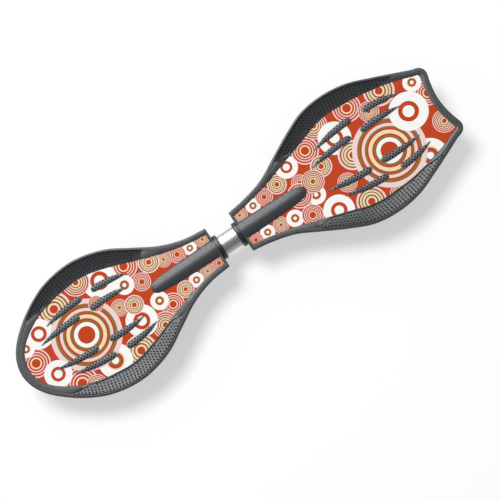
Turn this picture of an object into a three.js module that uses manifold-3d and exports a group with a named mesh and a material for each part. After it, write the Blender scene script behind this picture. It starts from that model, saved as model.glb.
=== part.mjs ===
// Caster board: two foot decks in line on a sprung torsion tube, each on one inclined swivel caster.
// Millimetres. +X runs to the rounded nose, +Z is up, the origin lies on the ground under the middle.
import * as THREE from 'three';
import { mergeVertices } from 'three/addons/utils/BufferGeometryUtils.js';
import Module from 'manifold-3d';

const wasm = await Module();
wasm.setup();

// Driving sizes of the board.
const noseDeckLength = 397;
const tailDeckLength = 414;
const neckGap = 48;
const noseDeckWidth = 238;
const tailDeckWidth = 241;
const neckWidth = 78;
const deckFloorHeight = 108;
const tubeDrop = 15.5;
const kickRise = 9;
const rakeDegrees = 30;

// Clearances: touching pieces, turning pieces, and how far a cutter runs past what it cuts.
const seatGap = 0.3;
const turnGap = 0.3;
const overrun = 2;
const weld = 0.0001;

// Deck shell: a moulded tray turned over, with a rolled rim and a recess for the graphic panel.
const skinThickness = 3.5;
const skirtDepth = 22;
const skirtWall = 3.5;
const skirtTuck = 3;
const neckRimHeight = 4.4;
const sideRimHeight = 8;
const rimBead = 4.5;
const lipHeight = 1.5;
const lipDraft = 0.4;
const neckRim = 9.8;
const sideRim = 32.5;
const noseTipRim = 14.5;
const tailTipRim = 12;
const bandMargin = 1.2;
const grooveWidth = 1.7;
const grooveDepth = 1.5;
const grooveLand = 0.3;
const neckRimShare = 0.5;
const beadShares = [[0.55, 1], [0.14, 0.72], [0, 0.2]];
const kickStartShare = 0.62;
const rimRiseShares = [0.12, 0.46];
const noseRimFallShares = [0.64, 1];
const tailRimFallShares = [0.62, 0.95];
const bandStartShares = [0.262, 0.31];
const bandEndShares = [0.8, 0.885];

// Half outlines from the neck. Flare: share of length, share of the way from neck to full half width.
const noseFlareShares = [[0, 0], [0.106, 0.063], [0.209, 0.238], [0.31, 0.525], [0.413, 0.817],
  [0.516, 0.97], [0.604, 1]];
const tailFlareShares = [[0, 0], [0.08, 0.061], [0.179, 0.195], [0.278, 0.455], [0.377, 0.72],
  [0.476, 0.934], [0.587, 1]];
// Then to the end: share of length, share of half width.
const noseRoundShares = [[0.723, 0.93], [0.826, 0.765], [0.902, 0.578], [0.957, 0.39], [0.989, 0.2], [1, 0]];
const tailTaperShares = [[0.698, 0.951], [0.795, 0.825], [0.894, 0.679], [0.957, 0.584]];
// Tail corner, whose outside lies at a share of the half width, and the swallow-tail notch between the
// corners: share of the way to the corner's centre, share of the notch's depth.
const tailCornerRadius = 16;
const tailCornerShare = 0.57478;
const tailCornerDegrees = [66, 42, 18, -6];
const notchDepth = 9;
const notchShares = [[0.68, 0.45], [0.32, 0.87], [0, 1]];
const stationsPerSpan = 2;

// Grip ribs: flame shapes from a blunt end to a tip, as shares of deck length and half width.
const gripWidth = 12.4;
const gripRise = 3;
const gripRoot = 1;
const gripBow = 2.3;
const noseGripShares = [
  { blunt: [0.612, 0.475], tip: [0.801, 0.4] }, { blunt: [0.662, 0.262], tip: [0.861, 0.206] },
  { blunt: [0.554, 0.487], tip: [0.388, 0.412] }, { blunt: [0.6, 0.262], tip: [0.423, 0.244] },
];
const tailGripShares = [
  { blunt: [0.633, 0.485], tip: [0.44, 0.395] }, { blunt: [0.592, 0.27], tip: [0.394, 0.2] },
  { blunt: [0.698, 0.49], tip: [0.853, 0.413] }, { blunt: [0.645, 0.262], tip: [0.831, 0.25] },
];
// Stations down a grip rib: share of its length, of its half width and of its height.
const gripStationShares = [[0, 0.56, 0.72], [0.04, 0.84, 0.92], [0.11, 1, 1], [0.58, 0.84, 1], [0.82, 0.52, 0.85],
  [1, 0.1, 0.4]];
const gripShoulderShare = 0.7;

// Graphic panel: a thin printed sheet bonded in the recess.
const panelThickness = 1;
const panelEdgeGap = 0.4;

// Housing over the tube, its split clamp underneath, and the block that carries both.
const housingRadius = 23;
const housingLength = 145;
const housingShares = [[0, 1], [0.27, 0.985], [0.6, 0.96], [0.78, 0.91], [0.862, 0.85], [0.903, 0.776],
  [0.95, 0.6], [0.985, 0.33]];
const channelWidth = 68;
const channelLength = 96;
const clampFlangeWidth = 66;
const clampFlangeLength = 92;
const clampFlangeThickness = 4;
const clampScrewSpacing = 57.2;
const clampScrewInset = 12;
const lockPadRadius = 7.5;
const lockPadDrop = 24.7;

// Underside ribs, fanned out from the caster seat.
const fanRibCount = 6;
const fanRibWall = 2.6;
const fanRibDepth = 15;
const fanRibReach = 280;

// Torsion tube and what turns on it.
const tubeRadius = 18;
const tubeWall = 2;
const tubeDepth = 84;
const bushWall = 1.6;
const bushLength = 20;
const bushSpacing = 44;
const ringWidth = 2;
const ringGrooveDepth = 0.8;
const collarLength = 8;
const collarChamfer = 1.5;
const spigotLength = 6;

// Torsion spring and the plugs that hold its ends.
const springRadius = 11.5;
const wireRadius = 2.4;
const springTurns = 6;
const springTang = 11;
const springBend = 6;
const springStandoff = 1.5;
const tangHoleClearance = 0.45;
const plugLength = 24;
const anchorSpigot = 18;
const anchorHeadRadius = 15;
const anchorHeadLength = 18;

// Fasteners.
const screwRadius = 2.2;
const screwHeadRadius = 4.2;
const screwHeadHeight = 2.6;
const screwCrownShare = 0.8;
const screwHoleClearance = 0.35;
const clampScrewLength = 15;
const plateScrewLength = 12;
const lockBoltRadius = 3;
const lockBoltHeadRadius = 5.6;
const lockBoltHeadHeight = 4;
const lockBoltLength = 18;

// Caster, in its own frame: +Z up the swivel axis, the wheel trailing to -X.
const wheelRadius = 38;
const wheelWidth = 24;
const casterOffset = 26;
const casterSeatShare = 0.594;
const wheelGap = 6;
const treadShares = [[0.36, 1], [0.8, 0.955], [0.96, 0.82]];
const hubRadius = 24;
const hubWidth = 22;
const hubRim = 3.2;
const hubNose = 2.8;
const hubWebThickness = 9;
const hubWindowRadius = 2.4;
const hubWindowCount = 6;
const tyreBoreWidth = 20;
const bearingRadius = 11;
const bearingBore = 4.3;
const bearingWidth = 7;
const spacerRadius = 6;
const bearingStop = 1.6;
const forkWall = 3.5;
const forkInner = 14.5;
const forkLegWall = 3.2;
const crownRadius = 27;
const crownRear = 28;
const crownFront = 20;
const forkWaist = 15;
const forkWaistHeightShare = 0.64;
const axleBossRadius = 7;
const legEndRadius = 11;
const legArcDegrees = [-35, -200];
const axleRadius = 4;
const axleHeadRadius = 7.4;
const axleHeadHeight = 5;
const axleNutHeight = 6.5;
const boltProud = 1.2;
const kingpinRadius = 5;
const kingpinHeadRadius = 9.6;
const kingpinHeadHeight = 6;
const kingpinNutHeight = 6;
const swivelBearingRadius = 22;
const swivelBearingHeight = 8.2;
const swivelSealDepth = 1.4;
const swivelSealShares = [0.4, 0.6];
const plateThickness = 3.5;
const plateLength = 62;
const plateWidth = 57;
const plateCorner = 6;
const plateHoleSpacingX = 44;
const plateHoleSpacingY = 40;
const seatLength = 68;
const seatWidth = 62;
const seatSlab = 11;
const seatFinWall = 4;
const seatFinFlare = 34;
const seatReach = 70;
const pocketRadius = 12;
const pocketDepth = 8;

// Facet counts.
const roundSides = 24;
const wheelSides = 36;
const bearingSides = 16;
const hexSides = 6;
const screwSides = 8;
const wireSides = 5;
const springStepsPerTurn = 8;
const hubSides = 18;
const holeSides = 12;
const cornerSteps = 3;
const legArcSteps = 6;

// Finishes.
const finish = (color, roughness, metalness) => new THREE.MeshStandardMaterial({ color, roughness, metalness });
const finishes = {
  deck: finish('#3d4145', 0.55, 0),
  graphic: finish('#c8451f', 0.35, 0),
  tube: finish('#c4c6c8', 0.32, 1),
  collar: finish('#161718', 0.5, 0),
  nylon: finish('#d9d6cc', 0.5, 0),
  spring: finish('#5b5e63', 0.4, 1),
  zinc: finish('#b9bcc0', 0.38, 1),
  steel: finish('#8f9398', 0.3, 1),
  blackSteel: finish('#202224', 0.45, 0.8),
  tyre: finish('#3a3d41', 0.4, 0),
  hub: finish('#1b1c1e', 0.5, 0),
};

// Places worked out from the sizes above.
const rake = THREE.MathUtils.degToRad(rakeDegrees);
const neckMiddle = (tailDeckLength - noseDeckLength) / 2;
const tubeHeight = deckFloorHeight - tubeDrop;
const tubeHalfLength = neckGap / 2 + tubeDepth;
const bushRadius = tubeRadius + turnGap + bushWall;
const crownUnder = wheelRadius + wheelGap;
const crownTop = crownUnder + forkWall;
const swivelBearingFoot = crownTop + turnGap;
const plateUnder = swivelBearingFoot + swivelBearingHeight + seatGap;
const seatFoot = plateUnder + plateThickness + seatGap;
const swivelPointHeight = wheelRadius - casterOffset * Math.sin(rake);
const panelTop = seatGap + panelThickness;
const ringStart = spigotLength + seatGap + bushSpacing + bushLength + turnGap;

const root = new THREE.Group();

// One skin without doubled corners or flat triangles.
function welded(geometry) {
  const bare = geometry.clone();
  bare.deleteAttribute('normal');
  bare.deleteAttribute('uv');
  const merged = mergeVertices(bare, weld);
  const index = [];
  for (let at = 0; at < merged.index.count; at += 3) {
    const [a, b, c] = merged.index.array.slice(at, at + 3);
    if (a !== b && b !== c && c !== a) index.push(a, b, c);
  }
  merged.setIndex(index);
  return merged;
}

// Solids in and out of the boolean library.
function solid(geometry) {
  const skin = welded(geometry);
  return new wasm.Manifold(new wasm.Mesh({
    numProp: 3,
    vertProperties: new Float32Array(skin.attributes.position.array),
    triVerts: new Uint32Array(skin.index.array),
  }));
}

function fuse(solids) {
  return solids.reduce((whole, next) => whole.add(next));
}

function geometryOf(manifold) {
  const mesh = manifold.getMesh();
  const geometry = new THREE.BufferGeometry();
  geometry.setAttribute('position', new THREE.BufferAttribute(new Float32Array(mesh.vertProperties), 3));
  geometry.setIndex(new THREE.BufferAttribute(new Uint32Array(mesh.triVerts), 1));
  return geometry;
}

function piece(parent, name, shape, material) {
  const geometry = shape.isBufferGeometry ? welded(shape) : geometryOf(shape);
  geometry.computeVertexNormals();
  const mesh = new THREE.Mesh(geometry, material);
  mesh.name = name;
  parent.add(mesh);
  return mesh;
}

// A box by its low and high corners.
function block(low, high) {
  const [x, y, z] = high.map((value, axis) => value - low[axis]);
  const geometry = new THREE.BoxGeometry(x, y, z);
  return geometry.translate(low[0] + x / 2, low[1] + y / 2, low[2] + z / 2);
}

// A turned piece on the X, Y or Z axis from a profile of [radius, place along the axis].
function turned(profile, sides, axis) {
  const points = profile.map(([radius, along]) => new THREE.Vector2(radius, along));
  const geometry = new THREE.LatheGeometry(points, sides);
  if (axis === 'x') geometry.rotateZ(-Math.PI / 2);
  if (axis === 'z') geometry.rotateX(Math.PI / 2);
  return geometry;
}

function rod(radius, from, to, sides, axis) {
  return turned([[0, from], [radius, from], [radius, to], [0, to]], sides, axis);
}

function sleeve(bore, radius, from, to, sides, axis) {
  return turned([[bore, from], [radius, from], [radius, to], [bore, to], [bore, from]], sides, axis);
}

function circle(x, y, radius, sides) {
  return Array.from({ length: sides }, (_, side) => {
    const angle = (side / sides) * 2 * Math.PI;
    return new THREE.Vector2(x + radius * Math.cos(angle), y + radius * Math.sin(angle));
  });
}

// A plate lying in XY with holes, from one height up to another.
function plate(outline, holes, low, high) {
  const shape = new THREE.Shape(outline);
  shape.holes = holes.map((hole) => new THREE.Path(hole));
  const geometry = new THREE.ExtrudeGeometry(shape, { depth: high - low, bevelEnabled: false });
  return geometry.translate(0, 0, low);
}

// A profile drawn in XZ, given its thickness along Y.
function sideProfile(outline, holes, low, high) {
  return plate(outline, holes, -high, -low).rotateX(Math.PI / 2);
}

function smoothRise(value, [low, high]) {
  return THREE.MathUtils.smoothstep(value, low, high);
}

// Decks. Each is drawn from its neck end at x = 0 towards its tip, with z = 0 on the tube's centre line.
const noseDeck = {
  name: 'nose', length: noseDeckLength, halfWidth: noseDeckWidth / 2, flare: noseFlareShares,
  tipRim: noseTipRim, rimFall: noseRimFallShares, grips: noseGripShares, bore: bushRadius + seatGap,
};
const tailDeck = {
  name: 'tail', length: tailDeckLength, halfWidth: tailDeckWidth / 2, flare: tailFlareShares,
  tipRim: tailTipRim, rimFall: tailRimFallShares, grips: tailGripShares, bore: tubeRadius + seatGap,
};

function flarePoints(deck) {
  const neckHalf = neckWidth / 2;
  return deck.flare.map(([along, widening]) => new THREE.Vector3(
    along * deck.length, neckHalf + widening * (deck.halfWidth - neckHalf), 0));
}

function nosePoints(deck) {
  const round = noseRoundShares.map(([along, across]) => new THREE.Vector3(
    along * deck.length, across * deck.halfWidth, 0));
  return [...flarePoints(deck), ...round];
}

function tailPoints(deck) {
  const taper = tailTaperShares.map(([along, across]) => new THREE.Vector3(
    along * deck.length, across * deck.halfWidth, 0));
  const cornerHalf = tailCornerShare * deck.halfWidth - tailCornerRadius;
  const corner = tailCornerDegrees.map((degrees) => {
    const angle = THREE.MathUtils.degToRad(degrees);
    return new THREE.Vector3(deck.length - tailCornerRadius * (1 - Math.cos(angle)),
      cornerHalf + tailCornerRadius * Math.sin(angle), 0);
  });
  const notch = notchShares.map(([across, depth]) => new THREE.Vector3(
    deck.length - depth * notchDepth, across * cornerHalf, 0));
  return [...flarePoints(deck), ...taper, ...corner, ...notch];
}

// Stations round the outline, from the neck corner on +Y round the tip to the neck corner on -Y.
function outlineStations(deck) {
  const half = deck.points;
  const other = half.slice(0, -1).reverse().map((point) => new THREE.Vector3(point.x, -point.y, 0));
  const curve = new THREE.CatmullRomCurve3([...half, ...other], false, 'centripetal');
  const count = (curve.points.length - 1) * stationsPerSpan;
  return Array.from({ length: count + 1 }, (_, station) => {
    const point = curve.getPoint(station / count);
    const tangent = curve.getTangent(station / count);
    const atNeck = station === 0 || station === count;
    const outward = atNeck ? [-neckRimShare, Math.sign(point.y)] : [-tangent.y, tangent.x];
    return { x: point.x, y: point.y, outward, share: point.x / deck.length };
  });
}

noseDeck.points = nosePoints(noseDeck);
tailDeck.points = tailPoints(tailDeck);
for (const deck of [noseDeck, tailDeck]) deck.stations = outlineStations(deck);

// The rim is narrow and low at the neck and tip, wide and high beside the feet.
function rimSwell(deck, station) {
  return smoothRise(station.share, rimRiseShares) * (1 - smoothRise(station.share, deck.rimFall));
}

function rimWidth(deck, station) {
  const plain = neckRim + (deck.tipRim - neckRim) * station.share;
  return plain + (sideRim - plain) * rimSwell(deck, station);
}

// The deck's floor line rises towards its tip.
function kick(deck, x) {
  const past = Math.max(0, x / deck.length - kickStartShare) / (1 - kickStartShare);
  return kickRise * past * past;
}

function loopOf(deck, insetAt, heightAt) {
  return deck.stations.map((station) => {
    const inset = insetAt(station);
    const x = station.x - inset * station.outward[0];
    const y = station.y - inset * station.outward[1];
    return new THREE.Vector3(x, y, tubeDrop + kick(deck, x) + heightAt(station));
  });
}

// Triangles across a loop: one flat sheet before the kick, rungs from side to side along it, and a sheet
// for the notched end.
function fillLoop(loop, first, faceUp) {
  const last = loop.length - 1;
  const middle = last / 2;
  const faces = [];
  const sheet = (from, to) => {
    const corners = [];
    for (let at = from; at <= to; at += 1) corners.push(at);
    for (let at = Math.max(last - to, to + 1); at <= last - from; at += 1) corners.push(at);
    const flat = corners.map((at) => new THREE.Vector2(loop[at].x, loop[at].y));
    for (const [a, b, c] of THREE.ShapeUtils.triangulateShape(flat, [])) {
      const turn = flat[b].clone().sub(flat[a]).cross(flat[c].clone().sub(flat[a]));
      faces.push((turn > 0 ? [a, b, c] : [a, c, b]).map((corner) => corners[corner]));
    }
  };
  let rung = 0;
  while (loop[rung + 1].z - loop[0].z < weld) rung += 1;
  sheet(0, rung);
  while (loop[rung + 1].x < loop[middle].x && loop[rung + 1].x > loop[rung].x) {
    faces.push([last - rung, last - rung - 1, rung + 1], [last - rung, rung + 1, rung]);
    rung += 1;
  }
  sheet(rung, middle);
  return faces.flatMap(([a, b, c]) => (faceUp ? [a, b, c] : [a, c, b])).map((corner) => corner + first);
}

// A closed body from loops that run from the top's middle outward, down, and in again underneath.
function loftLoops(loops) {
  const size = loops[0].length;
  const index = fillLoop(loops[0], 0, true);
  for (let loop = 0; loop < loops.length - 1; loop += 1) {
    for (let station = 0; station < size; station += 1) {
      const next = (station + 1) % size;
      const [a, b] = [loop * size + station, loop * size + next];
      index.push(a, b, a + size, b, b + size, a + size);
    }
  }
  index.push(...fillLoop(loops[loops.length - 1], (loops.length - 1) * size, false));
  const geometry = new THREE.BufferGeometry();
  const corners = loops.flat().flatMap((point) => [point.x, point.y, point.z]);
  geometry.setAttribute('position', new THREE.Float32BufferAttribute(corners, 3));
  geometry.setIndex(index);
  return geometry;
}

// Insets of the rim's features at a station.
function rimPlan(deck, station) {
  const width = rimWidth(deck, station);
  const bead = Math.min(rimBead, width / 2);
  const open = smoothRise(station.share, bandStartShares) * (1 - smoothRise(station.share, bandEndShares));
  const closed = bead + 2 * grooveWidth + grooveLand;
  const bandInner = closed + Math.max(0, width - bandMargin - closed) * open;
  const height = neckRimHeight + (sideRimHeight - neckRimHeight) * rimSwell(deck, station);
  return { width, bead, bandInner, height, groove: grooveDepth * Math.sqrt(open) };
}

function slopeHeight(plan, inset) {
  return plan.height - ((plan.height - lipHeight) * (inset - plan.bead)) / (plan.width - plan.bead);
}

// The moulded shell: recess floor, lip, grooved grip band, rolled bead, skirt and underside.
function deckShell(deck) {
  const rows = [];
  const row = (insetOf, heightOf) => rows.push(loopOf(deck,
    (station) => insetOf(rimPlan(deck, station)), (station) => heightOf(rimPlan(deck, station))));
  row((plan) => plan.width, () => 0);
  row((plan) => plan.width - lipDraft, () => lipHeight);
  row((plan) => plan.bandInner, (plan) => slopeHeight(plan, plan.bandInner));
  row((plan) => plan.bandInner - grooveWidth, (plan) => slopeHeight(plan, plan.bandInner) - plan.groove);
  row((plan) => plan.bead + grooveWidth, (plan) => slopeHeight(plan, plan.bead) - plan.groove);
  row((plan) => plan.bead, (plan) => slopeHeight(plan, plan.bead));
  for (const [inset, height] of beadShares) row((plan) => plan.bead * inset, (plan) => plan.height * height);
  row(() => skirtTuck, () => -skirtDepth);
  row(() => skirtTuck + skirtWall, () => -skirtDepth);
  row(() => skirtWall, () => -skinThickness);
  return solid(loftLoops(rows));
}

// The space inside the skirt, from the middle of the skin down to a depth: it trims whatever hangs there.
function deckInside(deck, depth) {
  const inset = () => skirtTuck + skirtWall / 2;
  return solid(loftLoops([loopOf(deck, inset, () => -skinThickness / 2), loopOf(deck, inset, () => -depth)]));
}

// One grip rib, lofted along its line. Grown, it cuts the slot in the graphic panel.
function gripRib(deck, shares, side, grow) {
  const blunt = new THREE.Vector2(shares.blunt[0] * deck.length, side * shares.blunt[1] * deck.halfWidth);
  const tip = new THREE.Vector2(shares.tip[0] * deck.length, side * shares.tip[1] * deck.halfWidth);
  const line = tip.clone().sub(blunt);
  const across = new THREE.Vector2(-line.y, line.x).normalize();
  const outwardBow = Math.sign(across.y) === side ? gripBow : -gripBow;
  const rise = gripRise + panelTop + grow;
  const rings = gripStationShares.map(([along, width, height]) => {
    const centre = blunt.clone().addScaledVector(line, along);
    centre.addScaledVector(across, outwardBow * 4 * along * (1 - along));
    centre.addScaledVector(line.clone().normalize(), grow * Math.sign(along * 2 - 1));
    const half = (gripWidth / 2) * width + grow;
    const base = tubeDrop + kick(deck, centre.x);
    const foot = base - gripRoot;
    const shoulder = base + panelTop + (rise - panelTop) * height * gripShoulderShare;
    const top = base + panelTop + (rise - panelTop) * height;
    const [wide, narrow] = [half, half * gripShoulderShare];
    const section = [[wide, foot], [narrow, shoulder], [0, top], [-narrow, shoulder], [-wide, foot]];
    return section.map(([offset, height]) => new THREE.Vector3(
      centre.x + across.x * offset, centre.y + across.y * offset, height));
  });
  return solid(loftRings(rings));
}

// A closed body from equal rings in a row, with flat ends.
function loftRings(rings) {
  const size = rings[0].length;
  const index = [];
  for (let ring = 0; ring < rings.length - 1; ring += 1) {
    for (let corner = 0; corner < size; corner += 1) {
      const next = (corner + 1) % size;
      const [a, b] = [ring * size + corner, ring * size + next];
      index.push(a, b, a + size, b, b + size, a + size);
    }
  }
  const lastRing = (rings.length - 1) * size;
  for (let corner = 1; corner < size - 1; corner += 1) {
    index.push(0, corner + 1, corner, lastRing, lastRing + corner, lastRing + corner + 1);
  }
  const geometry = new THREE.BufferGeometry();
  const corners = rings.flat().flatMap((point) => [point.x, point.y, point.z]);
  geometry.setAttribute('position', new THREE.Float32BufferAttribute(corners, 3));
  geometry.setIndex(index);
  return geometry;
}

function gripRibs(deck, grow) {
  return deck.grips.flatMap((shares) => [1, -1].map((side) => gripRib(deck, shares, side, grow)));
}

// The housing round the tube: a long turned form with a rounded end.
function housing(grow) {
  const wall = housingShares.map(([along, radius]) => [radius * housingRadius + grow, along * housingLength]);
  return solid(turned([[0, 0], ...wall, [0, housingLength + grow]], roundSides, 'x'));
}

// Where the clamp and its screws sit under a deck.
const clampScrewPlaces = [clampScrewInset, clampFlangeLength - clampScrewInset].flatMap(
  (x) => [1, -1].map((side) => [x, (side * clampScrewSpacing) / 2]));

function screwHole(x, y, low, high) {
  return solid(rod(screwRadius + screwHoleClearance, low, high, screwSides, 'z').translate(x, y, 0));
}

// The bores for tube, collar spigot and, on the nose, the spring anchor.
function tubeBores(deck) {
  const spigot = bushRadius + seatGap;
  const bores = [
    solid(rod(deck.bore, -overrun, tubeDepth + seatGap, roundSides, 'x')),
    solid(rod(spigot, -overrun, spigotLength + seatGap, roundSides, 'x')),
  ];
  if (deck === noseDeck) {
    const end = tubeDepth + anchorHeadLength + 2 * seatGap;
    bores.push(solid(rod(anchorHeadRadius + seatGap, tubeDepth, end, roundSides, 'x')));
  }
  return fuse(bores);
}

function lockBoltPlace(deck) {
  return deck === noseDeck ? tubeDepth + seatGap + anchorHeadLength / 2 : tubeDepth - plugLength / 2;
}

// From a deck's frame to the world, and from a caster's frame to the world.
function deckMatrix(deck) {
  const forward = deck === noseDeck;
  const matrix = new THREE.Matrix4().makeRotationZ(forward ? 0 : Math.PI);
  return matrix.setPosition(neckMiddle + (forward ? neckGap : -neckGap) / 2, 0, tubeHeight);
}

function casterMatrix(deck) {
  const neck = new THREE.Vector3().setFromMatrixPosition(deckMatrix(deck));
  const reach = deck.length * casterSeatShare * (deck === noseDeck ? 1 : -1);
  const matrix = new THREE.Matrix4().makeRotationY(rake);
  return matrix.setPosition(neck.x + reach - seatFoot * Math.sin(rake), 0, swivelPointHeight);
}

const plateScrewPlaces = [1, -1].flatMap((sideX) => [1, -1].map(
  (sideY) => [(sideX * plateHoleSpacingX) / 2, (sideY * plateHoleSpacingY) / 2]));

// The caster seat hangs from the skin: an inclined slab on two fins.
function casterSeat(toDeck) {
  const [halfLength, halfWidth] = [seatLength / 2, seatWidth / 2];
  const top = seatFoot + seatReach;
  const fin = [[-halfLength, seatFoot], [halfLength, seatFoot], [halfLength + seatFinFlare, top],
    [-halfLength - seatFinFlare, top]].map(([x, z]) => new THREE.Vector2(x, z));
  const parts = [
    block([-halfLength, -halfWidth, seatFoot], [halfLength, halfWidth, seatFoot + seatSlab]),
    sideProfile(fin, [], halfWidth - seatFinWall, halfWidth),
    sideProfile(fin, [], -halfWidth, seatFinWall - halfWidth),
  ];
  return fuse(parts.map((part) => solid(part.applyMatrix4(toDeck))));
}

function casterSeatCuts(toDeck) {
  const holes = plateScrewPlaces.map(([x, y]) => rod(screwRadius + screwHoleClearance, seatFoot - overrun,
    plateUnder + plateScrewLength + seatGap, screwSides, 'z').translate(x, y, 0));
  const pocket = rod(pocketRadius, seatFoot - overrun, seatFoot + pocketDepth, holeSides, 'z');
  return fuse([...holes, pocket].map((cut) => solid(cut.applyMatrix4(toDeck))));
}

// Ribs fanned out under the skin, clear of the seat's open middle.
function fanRibs(deck) {
  const x = deck.length * casterSeatShare;
  const low = tubeDrop - fanRibDepth - overrun;
  const bars = Array.from({ length: fanRibCount }, (_, rib) => {
    const bar = block([-fanRibReach, -fanRibWall / 2, low], [fanRibReach, fanRibWall / 2, tubeDrop + kickRise]);
    return solid(bar.rotateZ((rib / fanRibCount) * Math.PI).translate(x, 0, 0));
  });
  const clear = seatLength / 2 * Math.cos(rake) + seatFinWall;
  const middle = block([x - clear, seatFinWall - seatWidth / 2, low - overrun],
    [x + clear, seatWidth / 2 - seatFinWall, tubeDrop + kickRise + overrun]);
  return fuse(bars).subtract(solid(middle)).intersect(deckInside(deck, fanRibDepth));
}

function deckSolid(deck) {
  const toDeck = deckMatrix(deck).invert().multiply(casterMatrix(deck));
  const deep = deckInside(deck, seatReach + skirtDepth);
  const channel = solid(block([0, -channelWidth / 2, 0], [channelLength, channelWidth / 2, tubeDrop]));
  const upper = solid(block([0, -housingRadius, 0], [housingLength, housingRadius, housingRadius + overrun]));
  const hung = fuse([channel, casterSeat(toDeck)]).intersect(deep);
  const clampRoom = block([-overrun, -clampFlangeWidth / 2 - seatGap, -skirtDepth - overrun],
    [clampFlangeLength + seatGap, clampFlangeWidth / 2 + seatGap, 0]);
  const body = fuse([deckShell(deck), hung, fanRibs(deck), housing(0).intersect(upper), ...gripRibs(deck, 0)]);
  const holes = clampScrewPlaces.map(([x, y]) => screwHole(x, y, -overrun, clampScrewLength - clampFlangeThickness));
  return body.subtract(solid(clampRoom)).subtract(tubeBores(deck)).subtract(fuse(holes))
    .subtract(casterSeatCuts(toDeck));
}

// The printed panel: the recess outline less the housing and the grip ribs.
function graphicPanel(deck) {
  const inset = (station) => rimWidth(deck, station) + panelEdgeGap;
  const sheet = solid(loftLoops([loopOf(deck, inset, () => panelTop), loopOf(deck, inset, () => seatGap)]));
  return sheet.subtract(fuse([housing(panelEdgeGap), ...gripRibs(deck, panelEdgeGap)]));
}

// The clamp: the housing's lower half with screw flanges and a pad for the lock bolt.
function tubeClamp(deck) {
  const split = -seatGap;
  const bolt = lockBoltPlace(deck);
  const below = block([0, -housingRadius, -lockPadDrop - overrun], [housingLength, housingRadius, split]);
  const flange = block([0, -clampFlangeWidth / 2, split - clampFlangeThickness],
    [clampFlangeLength, clampFlangeWidth / 2, split]);
  const pad = rod(lockPadRadius, -lockPadDrop, -deck.bore, holeSides, 'z').translate(bolt, 0, 0);
  const holes = clampScrewPlaces.map(([x, y]) => screwHole(x, y, split - clampFlangeThickness - overrun, overrun));
  const shell = fuse([housing(0).intersect(solid(below)), solid(flange), solid(pad)]);
  return shell.subtract(tubeBores(deck)).subtract(fuse(holes)).subtract(lockBoltHole(bolt));
}

function screw(headFace, length, x, y) {
  const profile = [[0, -screwHeadHeight], [screwHeadRadius * screwCrownShare, -screwHeadHeight],
    [screwHeadRadius, 0], [screwRadius, 0], [screwRadius, length], [0, length]];
  return turned(profile, screwSides, 'z').translate(x, y, headFace);
}

// The lock bolt comes up through the clamp's pad; its end is shared by the holes it passes.
const lockBoltFace = -lockPadDrop - seatGap;
const lockBoltTop = lockBoltFace + lockBoltLength;

function lockBolt() {
  const head = rod(lockBoltHeadRadius, lockBoltFace - lockBoltHeadHeight, lockBoltFace, hexSides, 'z');
  const shank = rod(lockBoltRadius, lockBoltFace - lockBoltHeadHeight / 2, lockBoltTop, holeSides, 'z');
  return solid(head).add(solid(shank));
}

function lockBoltHole(x) {
  const top = lockBoltTop + seatGap;
  return solid(rod(lockBoltRadius + seatGap, -lockPadDrop - overrun, top, holeSides, 'z').translate(x, 0, 0));
}

function collar() {
  const [bore, out] = [tubeRadius + turnGap, housingRadius];
  return turned([[bore, -collarLength], [out - collarChamfer, -collarLength], [out, -collarLength + collarChamfer],
    [out, -seatGap], [bushRadius, -seatGap], [bushRadius, spigotLength], [bore, spigotLength],
    [bore, -collarLength]], roundSides, 'x');
}

function addDeck(deck) {
  const group = new THREE.Group();
  group.applyMatrix4(deckMatrix(deck));
  root.add(group);
  piece(group, `${deck.name}_deck`, deckSolid(deck), finishes.deck);
  piece(group, `${deck.name}_graphic_panel`, graphicPanel(deck), finishes.graphic);
  piece(group, `${deck.name}_collar`, collar(), finishes.collar);
  piece(group, `${deck.name}_tube_clamp`, tubeClamp(deck), finishes.deck);
  clampScrewPlaces.forEach(([x, y], at) => piece(group, `${deck.name}_clamp_screw_${at + 1}`,
    screw(-clampFlangeThickness - 2 * seatGap, clampScrewLength, x, y), finishes.blackSteel));
  const bolt = deck === noseDeck ? 'spring_anchor_bolt' : 'tube_lock_bolt';
  piece(group, bolt, lockBolt(), finishes.blackSteel).position.x = lockBoltPlace(deck);
  return group;
}

// The tube, with a groove for its retaining ring and a hole for the lock bolt.
function torsionTube() {
  const bore = tubeRadius - tubeWall;
  const grooveStart = neckGap / 2 + ringStart - turnGap;
  const grooveEnd = neckGap / 2 + ringStart + ringWidth + turnGap;
  const floor = tubeRadius - ringGrooveDepth;
  const profile = [[bore, -tubeHalfLength], [tubeRadius, -tubeHalfLength], [tubeRadius, grooveStart],
    [floor, grooveStart], [floor, grooveEnd], [tubeRadius, grooveEnd], [tubeRadius, tubeHalfLength],
    [bore, tubeHalfLength], [bore, -tubeHalfLength]];
  const skin = solid(turned(profile, roundSides, 'x'));
  return skin.subtract(lockBoltHole(tailLockPlace));
}

// Places along the tube from its middle.
const tailLockPlace = plugLength / 2 - tubeHalfLength;
const tailPlugFace = plugLength - tubeHalfLength;
const anchorFace = tubeHalfLength - anchorSpigot;
const anchorLockPlace = tubeHalfLength + seatGap + anchorHeadLength / 2;
const springSpan = anchorFace - tailPlugFace - 2 * springStandoff;
const springMiddle = (anchorFace + tailPlugFace) / 2;

function tangHole(low, high) {
  return solid(rod(wireRadius + tangHoleClearance, low, high, holeSides, 'x').translate(0, springRadius, 0));
}

// The tail plug is bolted in the tube; the nose anchor turns in it and is bolted to the nose deck.
function tailPlug() {
  const body = solid(rod(tubeRadius - tubeWall - seatGap, -tubeHalfLength, tailPlugFace, roundSides, 'x'));
  const tang = tangHole(tailPlugFace - springTang - seatGap, tailPlugFace + overrun);
  return body.subtract(tang).subtract(lockBoltHole(tailLockPlace));
}

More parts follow.
